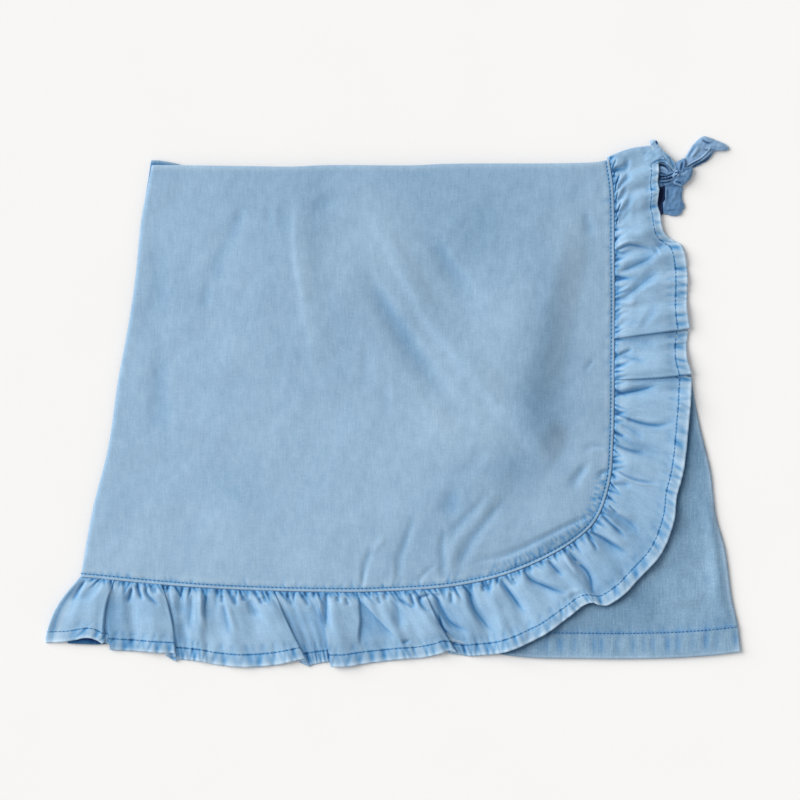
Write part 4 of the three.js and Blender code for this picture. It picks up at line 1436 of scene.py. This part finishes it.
@dataclass
class Shorts:
    """Plain pull-on shorts: two backs on the surface and two fronts on them, with turned hems."""

    thick: float = 0.85
    hem: float = 17.5  # width of the turned leg hem
    hem_middle: float = 9.0  # where its puckers are deepest
    turned: float = 14.0  # cloth inside it that counts in a panel's flat length
    stitch_in: float = 0.9  # how far below the hem's upper edge it is stitched
    centre: float = 8.0  # where the centre seams lie
    crotch: float = -100.0  # height of the crotch point
    inseam: float = -152.0  # height where the inseam meets the hem
    back_level: float = 0.95  # height of the backs' face
    puckers: Ticks = Ticks(8.5, (8.0, 10.0), 2.0, 0.12, 31)  # across the turned hem
    fine: Ticks = Ticks(3.4, (3.0, 8.0), 0.9, 0.3, 32)  # small ones along its stitches
    pucker_span: tuple[float, float] = (60.0, 232.0)  # where both are, from the part's middle
    step: float = 0.45  # rise of the visible hem
    ridge: str = "205,-62 208,-90 212,-125 216,-150 | 1 5 7 0"  # right front's upright crease
    thread: float = 0.8  # width of the hem's thread
    stitch: float = 2.45  # pitch of its stitches
    from_column: int = 60  # column of the right front where its hem comes out of the ruffle

    def leg(self, side: Side, rows: int, columns: int) -> tuple[Array, Array]:
        """Fills a leg's outline, with closer lines towards its foot and its outer edge.

        Args:
            side: which leg.
            rows: steps from waist to foot.
            columns: steps from the centre to the side.

        Returns:
            The flat grid, and how far each point is above the foot, along its column.
        """
        t, u = np.linspace(0.0, 1.0, rows + 1), np.linspace(0.0, 1.0, columns + 1)
        t = 0.7 * t + 0.3 * (1 - (1 - t) ** 2)
        u = 0.6 * u + 0.4 * (1 - (1 - u) ** 2)
        outer = Path(LEG_OUTER[side]).fractions(t)
        foot = Path(LEG_FOOT[side]).fractions(1 - u)
        y = outer[0, 1] + (self.inseam - outer[0, 1]) * t
        x = self.centre + side.value * (0.2 + 4.8 * ease(-y, -self.crotch, -self.inseam))
        middle = np.stack([x, y], -1)
        grid = coons(middle, outer, np.linspace(middle[0], outer[0], columns + 1), foot)
        grid = grid[:, :: side.value]
        steps = np.linalg.norm(np.diff(grid, axis=0), axis=2)
        above = np.cumsum(np.concatenate([0 * steps[:1], steps[::-1]]), axis=0)[::-1]
        return grid, above

    def panel(self, name: str, side: Side, level: float, rows: int, columns: int) -> Array:
        """Builds one leg panel: its hem is thicker, puckered and stitched, its edges round.

        Args:
            name: the solid it stands for.
            side: which leg.
            level: height of its face.
            rows: steps from waist to foot.
            columns: steps from the centre to the side.

        Returns:
            The grid of its face.
        """
        flat, above = self.leg(side, rows, columns)
        x, y = flat[..., 0], flat[..., 1]
        right = side is Side.RIGHT
        outer = Path(LEG_OUTER[side]).distance_to(x, y, 200)
        stitched = above - self.hem + self.stitch_in
        hemmed = 1.0 - ease(above, self.hem - 0.5, self.hem + 0.3)
        run = x * side.value
        puckers = self.puckers.lay(run, np.abs(above - self.hem_middle), *self.pucker_span)
        fine = self.fine.lay(run, np.abs(above - self.hem), *self.pucker_span)
        z = level + self.step * hemmed * right - 0.4 * puckers * ease(above, 0, 2)
        z -= 0.16 * fine + 0.3 * bell(stitched, 0.5)
        swell = 0.25 + 0.42 * drift(x, y, 34.0, 7) + 0.12 * drift(x, y, 12.0, 8)
        z += ease(outer, 0.0, 9.0) * ease(above, 8.0, 30.0) * swell
        if right and level > self.back_level:
            z += lay_creases(self.ridge, x, y)[0]
        z = np.maximum(z - 0.5 * roll(outer, 1.0), level - 0.6)
        # Paler along the outer fold and the hem's folded edge, partly rubbing; along the outer fold
        # it is also painted light that lifts the shade of the rounded edge.
        pale = 0.5 * bell(outer - 0.6, 1.5) + 0.4 * bell(above - 0.4, 0.8)
        pale += 0.14 * hemmed * (1 - puckers)
        deep = 0.45 * hemmed * puckers + 0.3 * fine + 0.6 * bell(stitched, 0.8)
        under = chain_distance(x, y, np.concatenate(HEM_STRETCHES)[:, 1:])[0]
        shade = 0.5 * bell(under, 2.3) + 0.08 * bell(under, 7.0) + 0.08 * bell(under, 18.0)
        # Random unevenness of tone, kept in the shade mark.
        shade += 0.06 * drift(x, y, 44.0, 9)
        if right:
            shade += spots("196 -55 16 40 0.07  205 -110 16 30 -0.08", x, y) - 0.03
        else:
            # Painted shade: the left leg's foot, seen under the ruffle's arch, is drawn darker and
            # a deeper blue.
            in_arch = 1 - ease(above, 8.0, 20.0)
            deep += 0.7 * in_arch
            shade += 0.3 * in_arch
        face = with_height(flat, z)
        made = Cloth.on_grid(
            f"{name}_cloth", face, flat, self.thick, pale=pale, deep=deep, shade=shade
        )
        piece = made.build(SHORTS_DENIM, "denim_shorts", name)
        return face

    def build(self) -> None:
        """The four panels, and the stitches of the hem that shows."""
        self.panel("shorts_back_left", Side.LEFT, self.back_level, 44, 26)
        self.panel("shorts_back_right", Side.RIGHT, self.back_level, 60, 36)
        self.panel("shorts_front_left", Side.LEFT, 2.0, 70, 40)
        size = 230, 170
        face = self.panel("shorts_front_right", Side.RIGHT, 2.05, *size)[:, self.from_column :]
        above = self.leg(Side.RIGHT, *size)[1][:, -40]  # in a column where the hem is in view
        row = int(np.argmin(np.abs(above - self.hem + self.stitch_in)))
        stitches = Stitches(face[row], face[row - 2] - face[row + 2], self.stitch, self.thread)
        stitches.build("leg_hem_stitches", "denim_shorts")


# ---- the back waistband ----


@dataclass
class Waistband:
    """The back waistband: a strip that stands a little above the wrap at the left corner."""

    level: float = 1.0  # height of its face
    thick: float = 0.9
    stitch_in: float = 2.6  # distance of the stitching from its upper edge
    height: float = 25.0  # from its upper to its lower edge
    peep: float = 2.1  # how much higher it stands at the left corner, where it shows
    upper: str = "-156.3 156.6 -150 156.2 -141.5 154.6 -128 151.4 -90 150.5 168 150.5"
    lower: str = "-161 128.3 171 128.3"

    def build(self) -> None:
        """A strip between two curves, with a stitched upper edge."""
        upper, lower = Path(rows_of(self.upper, 2)), Path(rows_of(self.lower, 2))
        u = np.linspace(0.0, 1.0, 200)
        t = np.linspace(0.0, 1.0, 20)[:, None, None] ** 1.4
        flat = upper.fractions(u)[None] * (1 - t) + lower.fractions(u)[None] * t
        down = np.broadcast_to(t[..., 0] * self.height, flat.shape[:2])
        peep = (1 - ease(down, 0.0, 9.0)) * (1 - ease(flat[..., 0], -140, -120))
        z = self.level + self.peep * peep
        z -= roll(down, 0.8) + 0.3 * bell(down - self.stitch_in, 0.5)
        pale = 0.5 * bell(down - 0.5, 0.7)
        deep = 0.35 + 0.3 * bell(down - self.stitch_in, 0.8)
        face = with_height(flat, z)
        made = Cloth.on_grid("waistband_back_cloth", face, flat, self.thick, pale=pale, deep=deep)
        piece = made.build(SHORTS_DENIM, "denim_shorts", "waistband_back")
        line = face[4, :40]
        across = np.cross([0.0, 0.0, 1.0], np.gradient(line, axis=0))
        Stitches(line, across).build("waistband_stitches", "denim_shorts")


# ---- the tie ----


class TieShading(Enum):
    """Which denim a piece of the tie takes: the ruffle's, or the darker tie denim, painted shade
    for its thick folds.
    """

    LIGHT = RUFFLE_DENIM
    WORN = TIE_DENIM


@dataclass(frozen=True)
class Flap:
    """A small piece of folded cloth with a free outline, domed, with its own creases."""

    node: str  # the solid it stands for
    # which denim: the darker one is painted shade for the tie's thick folds
    wash: TieShading
    middle: tuple[float, float]  # a point that sees all of its outline
    base: float  # height of its edge
    dome: float  # rise of its middle above that
    tone: float  # how much paler (above 0) or darker (below 0) the flap is drawn
    fall: float  # how late the dome falls away to its edge
    rings: int  # rings of its mesh
    outline: str  # corners
    creases: str  # table of creases
    shades: str  # lines of shade: points, then strength, reach and the full part of it
    spokes: int = 140  # points on each ring
    thick: float = 0.9
    crease: float = 0.8  # height of the creases

    @classmethod
    def read(cls, text: str) -> "Flap":
        """Reads a flap: a line of its name, wash and sizes, then its three tables.

        Args:
            text: one block of FLAPS.

        Returns:
            The flap.
        """
        head, rest = text.split("\n", 1)
        node, wash, *sizes = head.split()
        x, y, base, dome, tone, fall, rings = map(float, sizes)
        return cls(node, TieShading[wash], (x, y), base, dome, tone, fall, int(rings), *rest.split("="))

    def shade(self, x: Array, y: Array) -> Array:
        """Sums the lines of shade: strength in the full part, eased to 0 at the reach.

        Args:
            x: first coordinates of the places.
            y: second coordinates.

        Returns:
            The sum at each place.
        """
        total = np.zeros(len(x))
        for row in self.shades.split("\n"):
            if "|" in row:
                line, sizes = row.split("|")
                strength, width, core = (*map(float, sizes.split()), 0.35)[:3]
                off = chain_distance(x, y, points_of(line))[0]
                total += strength * (1 - ease(off, core * width, width))
        return total

    def build(self) -> tuple[bpy.types.Object, float]:
        """Fills the outline with rings round the middle, and makes the piece.

        Returns:
            The piece, and the area of its face in square metres.
        """
        corners = rows_of(self.outline, 2)
        loop = Path(np.concatenate([corners, corners[:1]]), 900)
        edge = loop.fractions(np.arange(self.spokes) / self.spokes)
        if loop_area(edge) < 0:
            edge = edge[::-1]
        reach = np.linspace(0.0, 1.0, self.rings + 1)[1:]
        middle = np.array([self.middle])
        rings = middle + (edge[None] - middle) * reach[:, None, None]
        flat = np.concatenate([middle, rings.reshape(-1, 2)])
        share = np.concatenate([[0.0], np.repeat(reach, self.spokes)])
        x, y = flat.T
        rise, nip = lay_creases(self.creases, x, y)
        rise *= self.crease
        z = self.base + self.dome * (1 - share**self.fall) + rise * (1 - share**12) - 0.35 * nip
        z += 0.12 * drift(x, y, 4.0, 41)
        shade = np.minimum(0.3 * nip + self.shade(x, y), 0.97)
        numbers = 1 + np.arange(self.rings * self.spokes).reshape(self.rings, -1)
        closed = np.concatenate([numbers, numbers[:, :1]], axis=1)
        fan = np.stack([0 * closed[0, 1:], closed[0, :-1], closed[0, 1:]], -1)
        # Painted shade: strong shade lines also pull the colour to the darkest blues, and nips and
        # crease hollows take the deep colour.
        marks = {
            "pale": 0.35 * np.clip(rise, 0, 1) + 0.3 * bell(share - 0.985, 0.03) + self.tone,
            "deep": 0.5 * nip + 0.25 * np.clip(-rise, 0, 1.5) + 2.0 * np.clip(shade - 0.3, 0, 1),
            "shade": 0.85 * shade,
        }
        faces, points = [grid_faces(closed), fan], np.stack([x, y, z], -1)
        made = Cloth(f"{self.node}_cloth", points, faces, numbers[-1], flat, self.thick, marks)
        piece = made.build(self.wash.value, "denim_tie", self.node)
        return piece, loop_area(edge) * MM * MM


# Each flap: name, wash, middle, base, dome, tone, fall and rings, then its outline, creases
# and shades.
FLAPS = """
tie_strap_wrap LIGHT 173.7 159.5 3.7 1.5 -0.05 2 26
161.1 163.6  164 164.1  166.9 164.8  170.1 165.4  173 165  175 163.4  177.1 161.4  179.2 159.5
181 157.4  182.4 155.5  183.6 153.3  184.2 151.1  183.6 149.6  182.4 149.6  181.2 150.6
179.9 152.4  178.4 153.9  176.8 155  175.3 155.5  173.7 155.3  172.7 154.6  171.9 153.5
170.5 152.2  168.3 151.1  165.4 151.1  162.5 153.3  160.7 157.6
=
177.1,160.5 179.9,157.6 182.4,154 183.1,151.9 | -0.35 0.8 0.3
162.5,160.5 172.7,159.2 178.4,155.6 182,151.1 | -0.3 2.5
171.9,153.3 172.7,154.5 175,155.5 177.1,154.8 179.5,152.9 182,150.1 | 0.8 0.8
167,148.3 167.6,151.5 168.9,153.9 170.8,155.5 173.4,156.4 175.9,156.4 178.4,155.1 \
180.6,152.6 | -0.3 0.5 0.5
179.9,156.1 183.3,151.5 | -0.5 0.6 0.4
=
178.8,157.3 182.4,152.6 | 0.13 2.6
182,151.9 183.6,150.1 | 0.2 2

tie_strap_side WORN 178.1 147.2 1.7 1.3 -0.1 5 26
170.1 154.8  170.1 140.3  172.7 138.9  175.2 139.4  178.1 140.3  180.6 141.2  183.1 141.9
185.5 143.6  186.7 146.1  186.2 148.3  184.2 149.7  182.4 149.6  181.2 151.5  179.5 153.5
177.1 155.1  174.5 155.6  171.9 155.3
=
174.5,151.7 177.3,150.6 179.9,148.3 | 0.9 1.6
172.9,153.2 175.5,153.2 178.4,151.5 180.7,148.6 | -0.8 0.9 0.6
173.7,149.6 176.6,148.5 179.2,147.2 | 0.5 0.7
172.9,148.6 176.3,147.4 179,146.5 | -0.6 0.6 0.5
172.7,146.1 177,145.9 181.3,147.3 185.1,149 | -0.8 0.5 0.9
173,145 177.1,145 181.5,146.4 185.4,148.1 | 1 0.55
173,143.9 177.3,144 181.7,145.3 185.1,146.8 | -0.7 0.5 0.8
173.4,142.8 177.6,143.1 182,144.3 185.2,145.7 | 0.9 0.55
173.5,141.8 177.7,142 182.4,143.3 | -0.7 0.5 0.8
173.7,140.5 176.3,141 | 0.6 0.5
174.7,146.2 174.1,144.3 | -0.6 0.4 0.6
176,146.7 176.6,142.5 | -0.5 0.5 0.5
178.4,146.2 177.8,143.9 | -0.6 0.4 0.6
180.4,147.3 179.8,142.8 | -0.5 0.6 0.4
175.3,142.8 176,139.9 | -0.6 0.4 0.6
=
172.7,153.5 172.7,150.4 | 0.5 1.5
172.7,147.2 173.1,139.6 | 0.4 1.6
173,145.9 183.5,143.9 | 0.16 3
174.2,153.6 177.1,152.9 | 0.3 1.2

tie_tail_lower WORN 181.3 131.6 1.4 0.9 -0.28 5 26
171.2 141  171.2 134.5  170.6 128.8  172.3 124.4  173.5 121.2  174.7 121  175.9 121.9  177.1 121.7
179.9 121  182.8 120.5  185.1 120.8  187.2 121.9  188.1 124.1  189.3 125.5  189.4 127.7
188.1 130.6  188 134.5  188.2 139.6  183.1 141.4  177.1 141.4
=
177.1,140.3 177.3,137.4 176.7,131.6 175.8,125.1 | 0.9 2.2 0.35 0
174.4,140.3 174.2,131.6 173.7,123 | -1 2.2
178.9,137.4 178.7,133.8 178.6,129.5 | -0.15 0.5 0.25
175.8,124.3 179.9,123.8 183.5,124.2 187.1,125.1 | -0.2 0.6 0.2
183.5,137.4 183.1,130.2 | 0.5 2.2
187.1,129.1 188.4,126.7 | -0.3 0.9 0.1
179.9,128.8 182,125.1 | -0.4 1.8
=
174.5,141 174.5,131.6 | 0.9 2.7 0.85
173.8,131.6 174.2,121.7 | 0.9 1.7 0.85
178.1,140.2 188,140.2 | 0.35 1.7
186,134.5 187.5,134.5 | 0.1 2.2

tie_tail_upper WORN 201.5 163.4 1.4 1.3 0.12 5 46
187.5 149.6  188.9 153.3  189.8 157.8  192.2 162  194.3 165.6  196.5 167.9  198.7 170.1
200.5 171.5  202.6 172.2  205.2 171.5  208.8 170.1  212 168.8  215.3 167.4  217.4 166  218.4 164.3
217.8 163.2  216 162.7  213.1 162.8  210.2 162.6  208.4 161.3  206.6 158.7  204.1 156.6
201.5 154.9  198.7 153.5  195 151.9  192.2 150.6  189.3 149.3
=
188,149.8 191.1,152.7 194.7,155 198.7,157.1 201.9,159.5 204.6,162.1 206.5,164.9 \
208.8,167.9 | 1.1 0.8
190.1,150.9 192.2,152.4 195.4,154.4 199.2,156.4 202.3,158.7 | -0.3 0.4 0.35
190.7,150.1 192.9,151.7 195.9,153.7 199.7,155.8 203,158.1 205.9,160.9 208.2,163.8 | 0.8 0.6
193.6,151.1 196.5,153 200.2,154.9 203.7,156.9 206.5,159.5 208,161.3 | -0.8 0.8 0.4
201.5,169.8 203.1,168.3 205.2,167.6 207.3,167.6 | -0.7 0.6 0.45
201.5,171.7 203.9,170.2 205.5,168.9 208,168.3 209.2,169.3 | 0.6 0.5
194,158.7 196.5,161.6 199.7,165.6 | 1 2
192.2,158.4 194.3,162 197.2,166 | -0.4 1.2 0.2
210.2,167 216,164.9 | 0.4 2
=
202.1,169.2 204.4,167.9 207,167.8 | 0.2 1
190.9,157.3 197.2,167.2 | 0.1 1.8
195.8,153 204.4,157.4 208,161 | 0.32 1.6
188.2,150.4 190.7,153.3 | 0.2 2.2

tie_knot_band WORN 188.5 148.3 2.6 1.7 -0.15 5 26
182 142.1  183.1 141  185.3 140.2  187.5 139.4  189.4 140.5  191.3 142.1  193.4 144.3  194.5 146.5
195 149  194.7 151.5  192.2 152  190 153.3  190.3 156.1  189.4 157.8  187.1 156.9  185.3 156
183.6 154.8  183.1 153.3  183.6 150.8  184.6 147.9  183.5 144.6
=
183.1,152.2 184.4,149.7 185.1,147.9 | -0.9 0.8 0.8
187.1,149.6 187.7,152.6 188.9,156.1 | -0.7 0.7 0.6
186,151.1 186.7,155.5 | 0.5 1
186.7,146.5 190,148.1 193.6,150.1 | 0.5 1.6
185.7,145.7 188.5,145.4 192.2,146.1 | -0.3 0.9 0.2
181.9,142.1 184.6,141 187.5,139.7 | 0.9 0.5
183.5,142.6 185.7,142.1 188.2,141 | -0.6 0.6 0.6
189.3,150.1 194.3,150.8 | -0.4 0.7 0.3
=
183.5,153.3 185.1,148.1 | 0.3 1.7
186,144.3 188,141.9 | 0.2 2.3
190,152.4 194.3,151.5 | 0.2 1.7
192.2,142.8 194.7,147.5 | 0.12 2

tie_knot WORN 184.4 147.2 3.7 1.2 0.1 5 26
181.5 146.5  182.4 148.1  183.6 149.6  185.3 150.3  186.8 149.7  187.2 148.3  186.8 146.7
185.4 145.4  183.5 144.8  182 145.2
=
182,145.7 186.4,148.8 | 0.8 0.5
183.1,148.4 186,148.1 | -0.6 0.4 0.8
183.3,145.5 184.4,147 | -0.5 0.4 0.6
185.1,146.5 186.5,147.7 | 0.5 0.4
=
185.5,149.6 185.7,148 | 0.5 1
181.8,146.2 183.1,145.2 | 0.2 1

tie_strap_corner LIGHT 170.1 166.7 3.6 0.7 0.05 5 26
166.7 168.5  167.7 169.4  169.8 169.6  171.4 169.3  172.1 167.9  172.7 166.3  173.4 164.7
172.3 162.8  168.3 163.1  168.1 165.2  167.3 166.9
=
170.9,168.8 171.6,167.5 171.8,166.2 | -0.7 0.6 0.8
167.6,168.1 169.8,167.4 | 0.4 0.8
168.3,166.3 169.6,164.1 | -0.4 0.6 0.4
=
171.1,168.5 171.8,166.9 | 0.25 1
"""

TIE_FLATS = {
    "tie_strap_wrap": (0.018, 0.025),
    "tie_strap_side": (0.015, 0.018),
    "tie_tail_lower": (0.018, 0.024),
    "tie_tail_upper": (0.018, 0.034),
    "tie_knot_band": (0.015, 0.018),
}
FOLDED_OVER = 1.35  # cloth in a folded strap, for the face that shows
MOST_OF_FLAT = 0.98


def build_tie() -> None:
    """The waist tie: two straps that meet in a knot, and its two tails."""
    flaps = [Flap.read(text) for text in FLAPS.strip().split("\n\n")]
    made = {flap.node: flap.build() for flap in flaps}
    for node, flat in TIE_FLATS.items():
        piece, area = made[node]
        area = min(FOLDED_OVER * area, MOST_OF_FLAT * flat[0] * flat[1])


# ---- the studio ----


@dataclass
class Studio:
    """A pale surface, a soft light from the upper left, a bright room, and the camera."""

    centre: tuple[float, float] = (4.8, 0.8)  # the point below the camera
    width: float = 520.0  # what the frame takes in across
    height: float = 2600.0  # how high the camera stands
    card: float = 3000.0  # half the side of the surface
    sun_from: tuple[float, float, float] = (-0.79, 0.37, 0.49)
    sun_power: float = 3.5
    sun_spread: float = 50.0  # its apparent size in degrees, which softens shadows
    sun_colour: tuple[float, float, float] = (1.0, 0.985, 0.965)
    room: float = 0.49  # brightness of the surroundings
    room_colour: tuple[float, float, float, float] = (0.97, 0.985, 1.0, 1.0)

    def build(self) -> None:
        """Makes the floor, the lights and the camera."""
        scene = bpy.context.scene
        scene.view_settings.view_transform = "Standard"
        corners = np.array([[-1, -1, 0], [1, -1, 0], [1, 1, 0], [-1, 1, 0]]) * self.card
        floor = put_mesh("floor", corners, [np.array([[0, 1, 2, 3]])])
        floor.data.materials.append(CARD.make())
        key = bpy.data.lights.new("key", "SUN")
        key.energy, key.color = self.sun_power, self.sun_colour
        key.angle = math.radians(self.sun_spread)
        lamp = bpy.data.objects.new("key", key)
        lamp.rotation_euler = Vector(self.sun_from).to_track_quat("Z", "Y").to_euler()
        scene.collection.objects.link(lamp)
        world = bpy.data.worlds.new("room")
        world.use_nodes = True
        sky = world.node_tree.nodes["Background"]
        sky.inputs["Color"].default_value = self.room_colour
        sky.inputs["Strength"].default_value = self.room
        scene.world = world
        lens = bpy.data.cameras.new("camera")
        lens.lens = lens.sensor_width * self.height / self.width
        lens.clip_end = 20.0
        camera = bpy.data.objects.new("camera", lens)
        camera.location = (self.centre[0] * MM, self.centre[1] * MM, self.height * MM)
        scene.collection.objects.link(camera)
        scene.camera = camera


def main() -> None:
    """Builds the studio and the garment from the bottom layer up."""
    logging.basicConfig(level=logging.INFO, format="%(message)s")
    Studio().build()
    Shorts().build()
    Waistband().build()
    WrapPanel().build()
    Ruffle().build()
    build_tie()
    LOG.info("size written")


if __name__ == "__main__":
    main()
